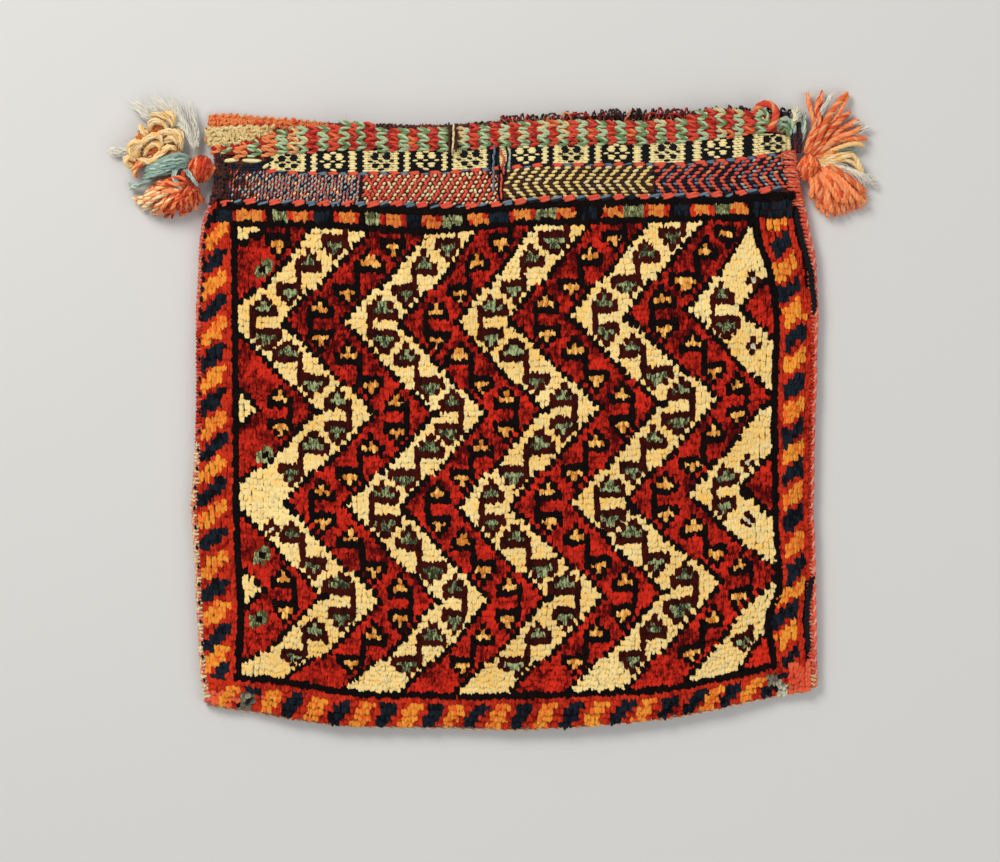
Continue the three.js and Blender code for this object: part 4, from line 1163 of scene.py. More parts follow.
def back_rim_edge():
    cloud = Cloud()
    mats = [RIM_ORANGE, RIM_BROWN, PLAIT_RED, PLAIT_GREEN, PLAIT_MOSS_AND_SHADE, TASSEL_BLUE, INK, PLAIT_DARK_AND_SHADE, PLAIT_PEACH, CREAM]
    # orange roll along the left part of the back, thick at the corner and thin where it ends
    for k, x in enumerate(np.arange(206.5, 338, 3.5)):
        top, low = float(roll_top(x)), 128.5
        n = max(1, int(round((low - top) / 4.1)))
        for r in range(n):
            f = (r + 0.5) / n
            xx, yy = x + rng.normal(0, 0.45), top + (low - top) * f + rng.normal(0, 0.4)
            if xx < end_left(yy) + 0.8:
                continue
            z = 2.3 + 2.6 * math.sin(math.pi * min(1, max(0.12, f * 0.72))) - 1.2 * max(0, 1 - (xx - end_left(yy)) / 8)
            turn = math.radians((50 if (k + r) % 2 else -50) + rng.normal(0, 13))
            c, s = 2.7 * math.cos(turn), 2.7 * math.sin(turn)
            yarn(cloud, [at(xx - c, yy - s, z - 0.5), at(xx, yy, z + 0.4), at(xx + c, yy + s, z - 0.5)], 0.00106, 2, 5, 0.0015, 0.006, rng.normal(0, 0.5), (0, 8) if rng.random() < 0.22 else (0, 2) if rng.random() < 0.25 else 0, ends=(0.7, 0.7), fuzz=2)
    xs = np.linspace(208, 338, 24)
    high = roll_top(xs) + 1.6
    line = np.stack([mx(xs), my((high + 129) / 2), np.full(24, 2.5 * MM)], -1)
    pts = tube_points(line, 0.0019, 8)
    ring = pts[0, :-2].reshape(24, 8, 3) - line[:, None]
    ring[:, :, 1] *= ((129 - high) / 2 * UNIT / 0.0019)[:, None]
    pts[0, :-2] = (ring + line[:, None]).reshape(-1, 3)
    cloud.add(pts, 24, 8, True, True, -0.9, 0)
    # plain edge cord under everything, from corner to corner
    xs = np.linspace(212, 790, 70)
    line = np.stack([mx(xs), my(back_rim(xs) - 4.6), np.full(70, 2.0 * MM)], -1)
    cloud.add(tube_points(line, 0.0015, 8), 70, 8, True, True, 0.0, 1)
    # overcast strands over the right part, dark and uneven, some pulled up into loops
    for x in np.arange(336, 792, 3.3):
        q = rng.random()
        mat = 1 if q < 0.5 else 6 if q < 0.72 else 7 if q < 0.92 else 8
        xx = x + rng.normal(0, 1.2)
        y = float(back_rim(xx))
        r = (0.72 if x < 500 else 1.15) * rng.uniform(0.75, 1.15)
        skew = rng.normal(0, 2.0)
        pts = [at(xx - 1.5, y + 3, 2.0), at(xx - 1, y - 1, 4.0 * r), at(xx + 0.5 + skew, y - 7.5 * r, 4.4 * r), at(xx + 2.2 + skew, y - 10.5 * r, 2.6), at(xx + 3, y - 8.5, 0.9)]
        yarn(cloud, pts, rng.uniform(0.0005, 0.0008), 2, 4, 0.0015, 0.004, rng.normal(0, 0.4), mat, fuzz=4)
    for x0, x1, y, mat in ((499, 522, 117, 1), (501, 520, 119.5, 7), (543, 560, 115, 1), (566, 590, 114, 7), (604, 622, 113.5, 1), (663, 687, 111, 1), (666, 683, 114, 7), (645, 657, 113, 7), (560, 571, 113, 8)):
        yarn(cloud, [at(x0 - 1, y + 12, 5.5), at(x0 + 1, y + 4, 6.8), at(x0 * 0.7 + x1 * 0.3, y - 0.5, 7.4), at(x0 * 0.3 + x1 * 0.7, y - 1.0, 7.4), at(x1, y + 4, 6.6), at(x1 + 2, y + 11, 5.2)], 0.00062, 2, 5, 0.0012, 0.0045, rng.normal(0, 0.3), mat, wander=0.0004, fuzz=8)
    # thick loose loops at the right end: red over green, then grey-green ones
    yarn(cloud, [at(751, 124, 6.5), at(755, 111, 8), at(762, 104.6, 9), at(769, 103.8, 9.4), at(775, 108.5, 9.2), at(776, 116, 9), at(773, 124, 8.4), at(767, 130, 7.4)], 0.00185, 3, 6, 0.0012, 0.0085, 0.1, (2, 2, 8), fuzz=24)
    yarn(cloud, [at(752, 127, 7.2), at(755.5, 117, 8.4), at(761, 111, 9), at(766.5, 113, 9), at(768, 121, 8.6), at(764, 127.5, 7.8)], 0.00118, 2, 6, 0.0012, 0.006, 0.2, (3, 4), fuzz=10)
    yarn(cloud, [at(756, 130, 7.4), at(759, 122, 8.6), at(763, 118.5, 8.8), at(764, 125, 8.2)], 0.001, 2, 6, 0.0012, 0.006, 0.2, (3, 9), fuzz=8)
    yarn(cloud, [at(777, 127, 7), at(781, 119.5, 7.6), at(788, 118.5, 7.6), at(793.5, 124.5, 7), at(796, 133, 5.5)], 0.0014, 2, 6, 0.0012, 0.006, 0.0, (5, 3), fuzz=10)
    yarn(cloud, [at(778, 130, 7), at(783, 124, 7.5), at(788.5, 126, 7.2), at(791.5, 134, 5.7)], 0.00125, 2, 6, 0.0012, 0.006, 0.0, (5, 4), fuzz=8)
    yarn(cloud, [at(781, 132, 6.8), at(785, 128.5, 7.0), at(788, 131, 6.8), at(789, 136, 5.7)], 0.001, 2, 6, 0.0012, 0.006, 0.0, 4, fuzz=6)
    for k in range(9):
        yarn(cloud, [at(770 + k * 2.6, 131 + pick(-1, 1), 5.6), at(772 + k * 2.6, 127 + pick(-1, 1), 6.4), at(775 + k * 2.6, 132 + pick(-1, 1), 5.2)], 0.0007, 2, 5, 0.0013, 0.005, 0.0, 6 if k % 3 else 4, fuzz=3)
    return cloud.make("back_rim_edging", mats)


rim = back_rim_edge()
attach(rim, "bag")
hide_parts("back_rim_cord")


# ---------------------------------------------------------------------------------------------
# The sides: overcast lacing, the cord along it and the wraps beside the tassels
# ---------------------------------------------------------------------------------------------
def side_lacing(name, edge, sign, y0, y1, pitch, rule, mats, radius, node, reach=7.5, low=0.8, cord=None, beads=(), laid=(), slant=1.6, rough=0.5, fuzz=3, specks=0):
    cloud = Cloud()
    top_at = lambda x, y: float(front_height(np.array([x]), np.array([y]))[0])
    rise = lambda y: min(max(top_at(float(edge(y)) + sign * (LACE + 3), y) + 2.6, 4.6), 8.2)
    y = y0
    while y < y1:
        e = float(edge(y))
        inner = e + sign * ((reach(y) if callable(reach) else reach) + rng.normal(0, rough))
        z1 = rise(y)
        lean = slant + rng.normal(0, rough * 0.8)
        p = lambda x, z, dy=0.0: (float(mx(x)), float(my(y + dy)), z * MM)
        pts = [p(inner, z1 - 0.7, -lean), p(e + sign * 4.6, z1 + 0.3, -lean * 0.4), p(e + sign * 1.9, z1 - 0.5), p(e + sign * 0.9, z1 * 0.55, lean * 0.4), p(e + sign * 2.4, low + 0.3, lean), p(e + sign * 7.0, low, lean * 1.3)]
        yarn(cloud, pts, radius * rng.uniform(0.85, 1.12), 2, 4, 0.0015, 0.005, rng.normal(0, 0.45), rule(y, rng), fuzz=fuzz)
        y += pitch * rng.uniform(0.85, 1.15)
    # the cord that the lacing is worked over
    ys = np.linspace(y0, y1, 60)
    line = np.stack([mx(edge(ys) + sign * 4.6), my(ys), np.full(60, 3.4 * MM)], -1)
    pts = tube_points(line, 0.0013, 8)
    ring = pts[0, :-2].reshape(60, 8, 3)
    ring[:, :, 2] = line[:, None, 2] + (ring[:, :, 2] - line[:, None, 2]) * 1.6
    pts[0, :-2] = ring.reshape(-1, 3)
    cloud.add(pts, 60, 8, True, True, -0.4, 0)
    if cord:
        for ya, yb, mat, fat in cord:
            ys = np.arange(ya, yb + 1, 14.0)
            yarn(cloud, [at(float(edge(v)) + sign * 2.0 + rng.normal(0, 0.3), v, rise(v) - 0.6) for v in ys], fat, 2, 6, 0.0016, 0.0062, 0.1, mat, fuzz=int((yb - ya) / 5))
    for ya, yb, step, inset, size, mat in beads:
        for v in np.arange(ya, yb, step):
            v = v + rng.normal(0, step * 0.08)
            x = float(edge(v)) + sign * (float(inset(v)) + rng.normal(0, 0.4))
            z = rise(v) - 1.3 * max(0.0, 1 - abs(x - float(edge(v))) / 5.5)
            yarn(cloud, [at(x + pick(-0.4, 0.4), v - size * 0.5, z + 1.1), at(x, v, z + 1.7), at(x + pick(-0.4, 0.4), v + size * 0.5, z + 1.1)], size * UNIT * 0.42, 2, 5, 0.0010, 0.004, rng.normal(0, 0.3), mat, ends=(0.6, 0.6), fuzz=3)
    for line in laid:
        v = np.arange(line[0][1], line[-1][1] + 1, 6.0)
        x = np.interp(v, [q[1] for q in line], [q[0] for q in line])
        dip = np.interp(np.minimum(v - v[0], v[-1] - v), [0, 6, 13], [2.6, 0.8, 0])
        yarn(cloud, [at(a + rng.normal(0, 0.5), b, rise(b) + 0.35 - d + rng.normal(0, 0.12)) for a, b, d in zip(x, v, dip)], 0.00165, 2, 7, 0.0012, 0.0048, 0.0, 2, ends=(0.6, 0.6), fuzz=50)
    for k in range(specks):
        v = rng.uniform(y0, y1)
        wide = reach(v) if callable(reach) else reach
        x = float(edge(v)) + sign * rng.uniform(1.5, wide + 9)
        z = rise(v) + (0.35 if abs(x - edge(v)) < wide else -1.2) - 1.6 * max(0, 1 - abs(x - edge(v)) / 5)
        turn = rng.uniform(0, 3.14)
        c, s = 2.2 * math.cos(turn), 2.2 * math.sin(turn)
        yarn(cloud, [at(x - c, v - s, z - 0.5), at(x, v, z + 0.3), at(x + c, v + s, z - 0.5)], rng.uniform(0.00055, 0.0008), 2, 4, 0.0014, 0.004, rng.normal(0, 0.5), int(rng.integers(0, len(mats))), ends=(0.6, 0.6), fuzz=2)
    obj = cloud.make(name, mats)
    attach(obj, "bag")
    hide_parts(node)
    return obj


PINK = wool("pink_wool", (226, 150, 124), (206, 116, 96), base=0.8)


def left_rule(y, g):
    q = g.random()
    if y < 330:
        return (0, 3) if q < 0.6 else 3
    if y < 445:
        return 4 if q < 0.75 else 3
    return (0, 1) if q < 0.55 else 1 if q < 0.75 else (0, 3)


def right_rule(y, g):
    q = g.random()
    if y > 674:
        return (3, 4) if q < 0.5 else 4
    if 335 < y < 560:
        return 1 if q < 0.7 else (0, 1)
    return 0 if q < 0.6 else (0, 3)


side_lacing("left_lacing", left_edge, 1, 207, 702, 3.9, left_rule, [PINK, CREAM, FLAT_BLACK, SALMON, BORDER_RED], 0.00098, "left_side_lacing", reach=lambda y: 4.8 if y < 322 else 7.5,
            cord=((440, 700, (0, 1), 0.0008), (212, 330, (0, 3), 0.0006)), beads=((216, 318, 10.5, lambda v: 5.6, 5.4, 2), (318, 690, 19.0, lambda v: 3.8, 3.6, 2)))
side_lacing("right_lacing", right_edge, -1, 209, 688, 3.9, right_rule, [SALMON, BORDER_RED, FLAT_BLACK, PINK, PLAIT_TAN], 0.00086, "right_side_lacing", reach=9.5,
            cord=((209, 688, (0, 3), 0.0013),), laid=EDGE_YARNS)
side_lacing("left_wrap", left_edge, 1, 155, 203, 2.6, lambda y, g: (0, 1) if g.random() < 0.6 else 2 if g.random() < 0.5 else 1, [RIM_BROWN, BERRY, INK, UMBER], 0.00066, "left_corner_wrap", reach=11.0, rough=1.6, fuzz=6, specks=170)
side_lacing("right_wrap", right_edge, -1, 151, 206, 2.5, lambda y, g: 0 if g.random() < 0.45 else (0, 1) if g.random() < 0.6 else (0, 2), [SALMON, RIM_ORANGE, PINK], 0.00078, "right_corner_wrap", reach=14.0, rough=1.3, slant=0.8, fuzz=9)


def fold_cord():
    """A thin overcast cord along the fold at the bottom."""
    cloud = Cloud()
    xs = np.linspace(206, 812, 62)
    yarn(cloud, [at(x, float(bottom_edge(x)) + 1.0 + rng.normal(0, 0.3), 1.6) for x in xs], 0.0008, 2, 5, 0.0018, 0.005, 0.0, (0, 1), fuzz=120)
    return cloud.make("fold_cord", [PINK, CREAM])


folded = fold_cord()
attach(folded, "bag")

# ---------------------------------------------------------------------------------------------
# The tassels: wound heads and hanks of plied yarn
# ---------------------------------------------------------------------------------------------
def wound_head(cloud, x, y, r, z, mats, count, half, fat, tall=1.0):
    """Upright turns of yarn round a ball, one beside another across it."""
    for k in range(count):
        f = -0.92 + 1.84 * k / (count - 1) + rng.normal(0, 0.03)
        rad = r * math.sqrt(max(0.18, 1 - f * f * 0.95)) - fat / MM
        ang = np.linspace(0, 2 * np.pi, 15)
        px = x + f * half + 1.4 * (ang / 6.28 - 0.5) + 1.2 * f * np.cos(2 * ang)
        py = y + np.sin(ang) * rad * tall / 0.48 + rng.normal(0, 0.5)
        pts = np.stack([mx(px), my(py), (z + np.cos(ang) * rad) * MM], -1)
        yarn(cloud, pts, fat, 3, 5, 0.0014, 0.009, rng.normal(0, 0.4), mats[k % len(mats)], ends=(1, 1), fuzz=44)
    f = np.linspace(-0.85, 0.85, 9)
    core = np.stack([mx(x + f * half), my(y + 0 * f), np.full(9, z * MM)], -1)
    pts = tube_points(core, (r - 1.0) * MM * np.sqrt(np.maximum(0.1, 1 - f ** 2 * 0.95)), 12)
    pts[0, :, 1] = float(my(y)) + (pts[0, :, 1] - float(my(y))) * tall
    cloud.add(pts, 9, 12, True, True, -0.5, 0)


def heart(cloud, x, y, z, angle, length, width, height, mat, tone=-0.4):
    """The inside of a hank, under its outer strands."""
    cloud.add(grains(mx(np.array([x])), my(np.array([y])), np.array([z * MM]), -math.radians(angle), length * UNIT, width * UNIT, height * MM, 9, 14), 9, 14, True, True, tone, mat)


def strand(cloud, pts, fat, mat, plies=3, fuzz=12, wander=0.0004, step=0.0014, ends=(0.8, 0.6), pitch=0.0075):
    yarn(cloud, pts, fat, plies, 5, step, pitch, rng.normal(0, 0.4), mat, ends=ends, wander=wander, fuzz=fuzz)


def under(cloud, x, y, z, angle, length, width, height, mats, n=10):
    """Strands laid over the underside of a packed heart, seen when the tassel is lifted."""
    kept = rng.bit_generator.state
    c, s = math.cos(math.radians(angle)), math.sin(math.radians(angle))
    for k in range(n):
        f = 2 * (k + 0.5) / n - 1
        half = 0.5 * length * math.sqrt(max(0.2, 1 - f * f)) * pick(0.92, 1.08)
        pts = []
        for t in (-1.0, -0.55, 0.0, 0.55, 1.0):
            u, v = half * t, 0.5 * width * f + pick(-0.8, 0.8)
            sag = 0.5 * height * math.sqrt(max(0.0, 1 - 0.92 * t * t) * max(0.1, 1 - 0.85 * f * f))
            pts.append(at(x + u * c - v * s, y + u * s + v * c, max(1.12, z - sag + 0.15)))
        strand(cloud, pts, 0.52 * width / n * UNIT * pick(1.15, 1.4), mats[k % len(mats)], plies=2, fuzz=8, wander=0.0003, step=0.002)
    rng.bit_generator.state = kept


def brush(cloud, path, spread, n, mat, fat=0.00013):
    """Frayed fibres along a path, opening out to its end."""
    path = np.asarray(path, float)
    for k in range(n):
        off = rng.normal(0, 1, 3)
        pts = [q + off * np.array([spread, spread, 0.5]) * (0.14 + 0.86 * (i / (len(path) - 1)) ** 1.3) + rng.normal(0, 0.7, 3) * [1, 1, 0.4] for i, q in enumerate(path)]
        pts[-1] = pts[-2] + (pts[-1] - pts[-2]) * rng.uniform(0.35, 1.15)
        yarn(cloud, [at(*q) for q in pts], fat * rng.uniform(0.7, 1.7), 1, 4, 0.0022, 0.004, rng.normal(0, 0.7), mat, wander=0.0009, ends=(0.9, 0.3))


def hank(name, body, node, mats, draw):
    cloud = Cloud()
    draw(cloud)
    obj = cloud.make(name, mats)
    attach(obj, body)
    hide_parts(node)
    return obj


TASSEL_DEEP = wool("tassel_deep_red_wool", (170, 50, 26), (140, 34, 18), base=0.8, fine=1100)
FIRE = [TASSEL_ORANGE, TASSEL_RED, TASSEL_PEACH]


# left tassel --------------------------------------------------------------------------------
def left_head(cloud):
    wound_head(cloud, 199.5, 169, 5.6, 5.9, [(1, 3, 3), (0, 1, 3), (1, 3, 1), (0, 0, 2), (1, 3, 1)], 9, 13.0, 0.00125, 1.36)


def left_orange(cloud):
    heart(cloud, 169, 196, 5.2, 6, 46, 25, 8.0, 1)
    under(cloud, 169, 196, 5.2, 6, 46, 25, 8.0, [(0, 1), (1, 4), (0, 2), (1, 1)])
    rimline = [(131, 197), (133, 203), (138, 208.5), (146, 212), (154, 214.5), (162, 215.5), (170, 216), (179, 215), (188, 211.5), (195, 207), (200, 200), (150, 186.5), (143, 190.5), (157, 178.5), (165, 175.5), (148, 200), (160, 206), (172, 207), (183, 204), (173, 176), (154, 182), (146, 193), (193, 203), (198, 196)]
    for lap in range(3):
        for k, (x, y) in enumerate(rimline):
            f = (1.0, 0.86, 0.68)[lap]
            tx, ty = 168 + (x - 168) * f + pick(-2, 2), 195.5 + (y - 195.5) * f + pick(-1.5, 1.5)
            z = (3.0, 6.5, 9.6)[lap] + pick(-0.8, 0.8)
            sx, sy = 191 + pick(-4, 3), 186 + pick(-3, 3)
            bx, by = (sx + tx) / 2 + pick(-4, 4), (sy + ty) / 2 + pick(-4, 4)
            if (x < 160 or lap == 0) and k % 3:
                tail = [at(tx + pick(2, 6), ty + (3.5 if y < 200 else -3.5) + pick(-1, 1), z + 0.6)]
            else:
                tail = []
            if tx < 148:
                mat = ((3, 2, 3), (2, 3, 2), (3, 3, 2))[int(pick(0, 2.99))]
            elif tx < 160:
                mat = ((2, 0, 2), (3, 2, 0), (0, 2, 2))[int(pick(0, 2.99))]
            else:
                mat = ((0, 0, 1), (0, 1, 1), (1, 4, 1), (2, 0, 1), (1, 4, 0))[int(pick(0, 4.99))]
            strand(cloud, [at(sx, sy, pick(4.6, 7)), at(bx, by, min(11.6, z + 2.4)), at(tx * 0.85 + bx * 0.15, ty * 0.85 + by * 0.15, z + 1.0), at(tx, ty, max(1.3, z - 0.4))] + tail, pick(0.0009, 0.0012), mat, fuzz=46, wander=0.0009, step=0.0018)


def curl(cx, cy, r, start, turns, z, n=9):
    return [at(cx + r * math.cos(start + turns * 2 * math.pi * k / n), cy + r * 0.88 * math.sin(start + turns * 2 * math.pi * k / n), z + 0.2 * k) for k in range(n + 1)]


def left_yellow(cloud):
    heart(cloud, 156, 144, 2.9, 32, 46, 24, 4.2, 1)
    heart(cloud, 134, 160, 2.4, 32, 18, 13, 3.4, 1)
    under(cloud, 156, 144, 2.9, 32, 47, 25, 4.2, [(1, 1), (1, 0), (0, 2), (3, 1)], 11)
    under(cloud, 134, 160, 2.4, 32, 19, 14, 3.4, [(1, 0), (2, 0), (1, 1)], 6)
    # amber yarn packed underneath; its darker colour is painted shade between the pale loops
    for k in range(26):
        f = (k % 13) / 12 - 0.5
        x, y = 154 + 20 * f + pick(-1, 1), 144 + 26 * f + pick(-1, 1)
        run = pick(15, 24) * (1 - 0.8 * f * f)
        bow = pick(-3, 3)
        strand(cloud, [at(x - run * 0.85 + bow, y + run * 0.52, 3.2), at(x - run * 0.3, y + run * 0.2 + bow, 4.9 + pick(-0.4, 0.5)), at(x + run * 0.3 + bow, y - run * 0.2, 4.9 + pick(-0.4, 0.5)), at(x + run * 0.85, y - run * 0.52 + bow, 3.4)], pick(0.0011, 0.0015), ((1, 1), (1, 0), (3, 1))[k % 3], plies=2, fuzz=34, step=0.0019)
    # soft loops of paler yarn over it
    loops = ([(148, 130), (149.5, 124.5), (153, 121), (158, 120.5), (163, 123), (166.5, 130)], [(139.5, 125), (141, 129.5), (144, 133.5), (148, 136)], [(134, 157), (136.5, 149), (141.5, 142.5), (149, 137), (155.5, 134.5), (160, 137.5), (161, 144)],
             [(142.5, 155), (145.5, 148), (150, 143.8), (155, 142.6), (158.8, 146), (158, 151)], [(154, 135.5), (161, 132), (167, 131), (173, 131), (179, 133), (180.5, 140), (179.5, 148)], [(164, 141), (169, 137.5), (174, 138.5), (177.5, 143)],
             [(134.5, 157), (141, 160), (148, 161.2), (155, 158), (162, 151.5), (169, 146.5), (175, 149)], [(133, 166), (126.5, 165), (124.5, 160.5), (127, 156.5), (132, 157), (134, 161)], [(139, 152), (132, 154.5), (128.5, 149), (131, 142.5), (137.5, 141), (141, 145)],
             [(150, 115.5), (155.5, 113.5), (162, 115.5), (168, 119.5), (173, 126)], [(171, 124), (173.5, 118), (170, 113), (165, 113)], [(144, 161), (138, 164.5), (134, 170), (135, 176)])
    for m, path in enumerate(loops):
        for k in range(4):
            dx, dy = ((-1.4, -1.0), (1.2, -1.2), (0.2, 0.6), (0.6, 1.6))[k]
            z = 6.2 + 0.5 * (m % 3) + (0.0, 0.1, 1.2, 0.2)[k]
            n = len(path) - 1
            strand(cloud, [at(x + dx + pick(-0.5, 0.5), y + dy + pick(-0.5, 0.5), z + 0.7 * math.sin(math.pi * i / n) - (1.6 if i in (0, n) else 0)) for i, (x, y) in enumerate(path)], pick(0.00085, 0.0011), ((2, 2), (0, 2), (2, 0), (2, 2))[k] if m != 11 else (3, 0), plies=2, fuzz=26, wander=0.0003, step=0.0019)


def left_blue(cloud):
    heart(cloud, 164, 162, 6.2, -22, 42, 13, 6.0, 0)
    under(cloud, 164, 162, 6.2, -22, 42, 14, 6.0, [(0, 1), (0, 0), (1, 0)], 6)
    for k in range(15):
        f = k / 14
        y0, x1, y1 = 154 + 14 * f, 146 - 4 * f + pick(-3, 3), 168 + 9 * f + pick(-2, 2)
        strand(cloud, [at(190, 158 + 8 * f, 6), at(180, y0 + pick(-1, 1), 9.2 + pick(-0.6, 0.6)), at(164, (y0 + y1) / 2 + pick(-1.5, 1.5), 9.6 + pick(-0.6, 0.6)), at(x1 + 6, y1 - 1, 7.6), at(x1, y1, 5.4)], pick(0.0007, 0.0009), (0, 0) if k % 3 else (0, 1), plies=2, fuzz=9, wander=0.0006)
    for k in range(7):
        strand(cloud, [at(150 + pick(-2, 2), 178 + pick(-2, 2), 6.4), at(141, 184 + pick(-2, 2), 6.0), at(133, 185 + pick(-3, 3), 4.4), at(126 + pick(-2, 2), 185.5 + pick(-5, 5), 2.8)], 0.0007, (0, 1) if k % 2 else 0, plies=2, fuzz=9, wander=0.0005)
    # a fork of pale strands over the top of the orange hank, round a red heart
    strand(cloud, [at(183, 172, 11.2), at(184, 178, 12.0), at(185.5, 184, 11.4)], 0.0012, 2, fuzz=8)
    for k in range(4):
        strand(cloud, [at(177 - 1.2 * k, 170, 10.6), at(176 - k * 0.8, 178, 12.0), at(180 - k * 0.5, 186, 11.8), at(184 - k, 191 + k * 0.4, 10.4)], 0.00075, (0, 1), plies=2, fuzz=7)
        strand(cloud, [at(184 + k, 170, 11), at(190 + k * 0.8, 176, 11.4), at(194 + k, 183 + k, 10.4)], 0.0007, (0, 1), plies=2, fuzz=7)


def left_white(cloud):
    for path, spread, n in (([(193, 148, 5), (186, 130, 5.6), (168, 121, 5.2), (150, 117, 4.8), (139, 108, 3.8), (129, 100, 2.4)], 3.4, 40),
                            ([(193, 148, 5), (188, 132, 5.8), (172, 116, 5.2), (160, 104, 4.4), (152, 93, 2.6)], 2.6, 34),
                            ([(165, 118, 5), (154, 109, 4.6), (144, 101.5, 3.0)], 1.6, 16),
                            ([(193, 148, 5), (189, 134, 6.4), (183, 121, 5.6), (175, 108, 4.6), (169, 97, 2.8)], 3.0, 44),
                            ([(194, 146, 5), (195, 131, 5.6), (192, 115, 4.4), (189, 99, 2.4)], 1.8, 14),
                            ([(196, 146, 5), (197, 132, 5), (193.5, 120, 3.6)], 1.6, 10),
                            ([(132, 151, 4.4), (125, 151, 4.2), (116, 150, 3.2), (108.5, 150, 1.8)], 3.6, 44)):
        brush(cloud, path, spread, n, 0)


# amber for the yarn and hearts under the left tassel's pale loops: painted shade between the loops
TASSEL_AMBER_SHADE = wool("tassel_amber_shade_wool", (206, 124, 58), (182, 92, 40), base=0.8, fine=1100)
hank("left_head_winding", "left_tassel", "left_tassel_head", FIRE + [TASSEL_DEEP], left_head)
hank("left_orange_yarns", "left_tassel", "left_tassel_orange_hank", FIRE + [TASSEL_PALE, TASSEL_DEEP], left_orange)
hank("left_yellow_loops", "left_tassel", "left_tassel_yellow_hank", [TASSEL_YELLOW, TASSEL_AMBER_SHADE, TASSEL_PALE, TASSEL_ORANGE], left_yellow)
hank("left_blue_yarns", "left_tassel", "left_tassel_blue_hank", [TASSEL_BLUE, TASSEL_MIST, TASSEL_RED], left_blue)
hank("left_white_strands", "left_tassel", "left_tassel_white_ends", [COTTON], left_white)


# right tassel -------------------------------------------------------------------------------
def right_head(cloud):
    wound_head(cloud, 809, 166.5, 5.0, 5.3, [(0, 0, 2), (0, 1, 0), (2, 0, 0), (0, 1, 1)], 8, 9.5, 0.00118, 1.5)


def right_upper(cloud):
    heart(cloud, 822, 147, 3.6, 52, 34, 15, 5.4, 1)
    under(cloud, 822, 147, 3.6, 52, 35, 16, 5.4, [(0, 1), (0, 2), (1, 2)], 7)
    rows = (([(806, 152), (811, 138), (815.5, 126), (812, 110), (808.5, 91.5)], 0.00135, (0, 2, 2)), ([(809, 152), (815, 138), (819, 124), (818.5, 107), (821.5, 95)], 0.00125, (0, 2, 1)),
            ([(812, 154), (818, 140), (822.5, 122), (822, 104), (823.5, 89)], 0.00115, (2, 2, 1)), ([(813, 153), (820, 136), (826, 120), (838, 104), (848.5, 91)], 0.0016, (0, 0, 2)),
            ([(815, 155), (823, 138), (831, 123), (841, 109), (850, 94)], 0.00125, (2, 0, 2)), ([(816, 155), (827, 137), (836, 124), (844, 116), (852, 111)], 0.0015, (0, 2, 1)),
            ([(818, 156), (830, 140), (840, 130), (850, 125), (860, 118.5)], 0.0017, (2, 0, 2)), ([(818, 157), (832, 142), (845, 134), (856, 130), (863, 126)], 0.0013, (2, 2, 0)),
            ([(819, 157), (833, 145), (846, 138), (858, 137), (869, 137.5)], 0.0015, (0, 0, 2)), ([(820, 158), (834, 149), (846, 144), (858, 143), (866, 145)], 0.0012, (3, 3, 3)),
            ([(820, 158), (834, 152), (848, 148), (861, 150)], 0.001, (5, 5, 5)), ([(818, 157), (829, 146), (838, 137), (848, 131)], 0.0014, (2, 2, 0)),
            ([(814, 155), (818, 146), (823, 134), (829, 126)], 0.0014, (2, 0, 1)), ([(819, 158), (830, 152), (842, 149)], 0.0014, (2, 0, 2)), ([(809, 154), (812, 146), (816, 137), (823, 130)], 0.0014, (0, 2, 0)))
    for k, (path, fat, mat) in enumerate(rows):
        n = len(path) - 1
        z = (5.0, 6.4, 3.6, 7.0)[k % 4]
        strand(cloud, [at(x + pick(-0.5, 0.5), y, max(1.6, 5 + (z - 3.6) * math.sin(math.pi * i / n) - 2.0 * (i / n) ** 2)) for i, (x, y) in enumerate(path)], fat, mat, fuzz=70, wander=0.0005)
    for path, spread, n in (([(816, 122, 6), (822, 110, 6), (830, 98, 4.6), (838.5, 88.5, 2.6)], 0.9, 12), ([(852, 135, 5), (861, 130, 4.6), (871, 125, 3)], 1.2, 16), ([(855, 123, 5), (861, 121, 4.4), (865, 124, 3.4)], 1.3, 10)):
        brush(cloud, path, spread, n, 4, 0.00016)


def right_lower(cloud):
    heart(cloud, 835, 185, 4.2, 48, 40, 20, 6.0, 1)
    under(cloud, 835, 185, 4.2, 48, 41, 21, 6.0, [(0, 2), (0, 1), (2, 2), (0, 0)], 8)
    ends = [(864, 186), (866.5, 191), (867.5, 197), (867, 203), (863, 206), (857.5, 208), (852, 209.5), (846.5, 212.5), (841, 213.5), (835.5, 215), (829.5, 215.5), (824, 211.5), (819.5, 207), (813.5, 199)]
    for lap in range(2):
        for k, (x, y) in enumerate(ends):
            f = k / (len(ends) - 1)
            sx, sy = 826 - 15 * f + pick(-1, 1), 164 + 8 * f + pick(-1, 1)
            if lap:
                x, y = sx + (x - sx) * pick(0.72, 0.92) + pick(-1.5, 1.5), sy + (y - sy) * pick(0.72, 0.92) + pick(-1.5, 1.5)
            z = (3.2, 6.6)[lap] + pick(-0.5, 0.6) + 0.6 * (k % 2)
            mat = ((0, 2, 1), (0, 0, 2), (2, 0, 2), (0, 2, 2))[int(pick(0, 3.99))]
            strand(cloud, [at(sx, sy, 5.2 - 0.9 * f), at(sx + (x - sx) * 0.33 + 1.5, sy + (y - sy) * 0.30 - 0.5, z + 1.4 - 1.3 * f), at(sx + (x - sx) * 0.7 + 1.2, sy + (y - sy) * 0.66, z + 1.2), at(x, y, max(1.7, z - 0.6))], pick(0.0013, 0.00155), mat, fuzz=56, wander=0.0003, ends=(0.8, 0.75))
            if lap == 0 or k % 2:
                tip = np.array(at(x, y, max(1.7, z - 0.6)))
                out = np.array([x - sx, -(y - sy), 0.0]) / math.hypot(x - sx, y - sy)
                m = 10
                hairs(cloud, tip + rng.normal(0, 0.0005, (m, 3)), out + rng.normal(0, 0.45, (m, 3)), rng.uniform(0.0008, 0.0024, m), 2, 0.0001, 0.6)


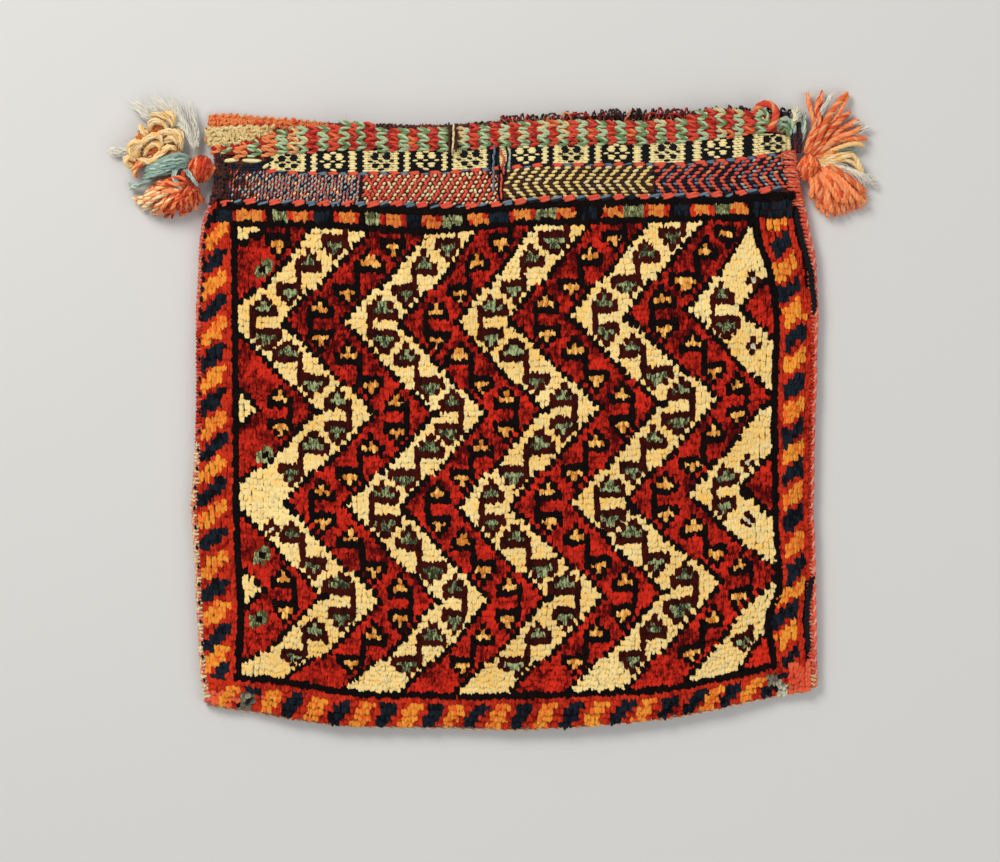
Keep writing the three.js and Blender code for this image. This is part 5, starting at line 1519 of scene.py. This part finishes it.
def right_yellow(cloud):
    for k, path in enumerate(([(820, 160), (834, 159), (845, 156), (854, 155), (860, 163), (864.5, 174)], [(820, 163), (835, 162), (847, 160), (856, 163), (863, 172)], [(819, 158), (829, 155), (838, 156), (847, 153)],
                              [(820, 165), (834, 166), (847, 167), (857, 171), (864, 178)], [(820, 161), (832, 157), (844, 153), (853, 151)])):
        n = len(path) - 1
        strand(cloud, [at(x, y, max(2.2, 5.4 + 2.0 * math.sin(math.pi * i / n) - 2.2 * (i / n) ** 2)) for i, (x, y) in enumerate(path)], (0.0013, 0.0011, 0.001, 0.001, 0.001)[k], (0, 1, 0) if k != 3 else (1, 2, 1), fuzz=16)


def right_white(cloud):
    brush(cloud, [(830, 163, 6.4), (846, 168, 6.6), (856, 174, 5.2), (864, 184, 3)], 1.6, 26, 0, 0.00016)
    brush(cloud, [(860, 172, 5.2), (866, 177, 4.6), (872, 184, 2.6)], 3.4, 40, 0, 0.00016)
    brush(cloud, [(860, 172, 5.2), (868, 176, 4.4), (877, 179, 2.4)], 2.4, 24, 0, 0.00016)


hank("right_head_winding", "right_tassel", "right_tassel_head", FIRE, right_head)
hank("right_upper_yarns", "right_tassel", "right_tassel_upper_hank", FIRE + [TASSEL_YELLOW, COTTON, TASSEL_BLUE], right_upper)
hank("right_lower_yarns", "right_tassel", "right_tassel_lower_hank", FIRE, right_lower)
hank("right_yellow_yarns", "right_tassel", "right_tassel_yellow_hank", [TASSEL_YELLOW, TASSEL_PALE, COTTON], right_yellow)
hank("right_white_strands", "right_tassel", "right_tassel_white_ends", [COTTON], right_white)


def end_tuft(cloud):
    for k in range(26):
        x = 794.0 + 7.0 * (k % 13) / 12 + pick(-0.5, 0.5)
        foot = 152 - 2.0 * (k % 2)
        strand(cloud, [at(x, 121 + pick(-3, 3), 3.0), at(x + pick(-1, 1), 131, 5.2 + pick(-0.3, 0.3)), at(x + pick(-1, 1), 142, 5.6 + pick(-0.3, 0.3)), at(x + 0.5, foot, 4.0)], pick(0.0007, 0.00095), (4, 3, 4, 4, 5)[k % 5], plies=2, fuzz=6)
    for k, (x, y) in enumerate([(793.5, 108), (796, 105), (798.5, 105.5), (801, 109), (802, 115), (798, 112), (795, 116), (803, 121)]):
        strand(cloud, [at(792 + pick(-1, 1), 129, 4), at(794 + pick(-1, 2), 121, 7), at((795 + x) / 2, (118 + y) / 2, 7.5), at(x, y, 4)], pick(0.0006, 0.0009), (2, 1, 2, 1, 2, 2, 1, 0)[k], plies=2, fuzz=9)
    for path in ([(799, 146), (801, 134), (804.5, 122), (806.5, 111)], [(801, 148), (803.5, 136), (806, 124), (804, 112)], [(797, 146), (798, 138), (801, 128), (805, 120)]):
        strand(cloud, [at(x, y, 3.6 + 0.8 * math.sin(math.pi * i / 3)) for i, (x, y) in enumerate(path)], 0.00095, (0, 1), plies=2, fuzz=10)


hank("plait_end_strands", "bag", "plait_end_tuft", [TASSEL_BLUE, TASSEL_MIST, TASSEL_PALE, RIM_BROWN, INK, BERRY], end_tuft)
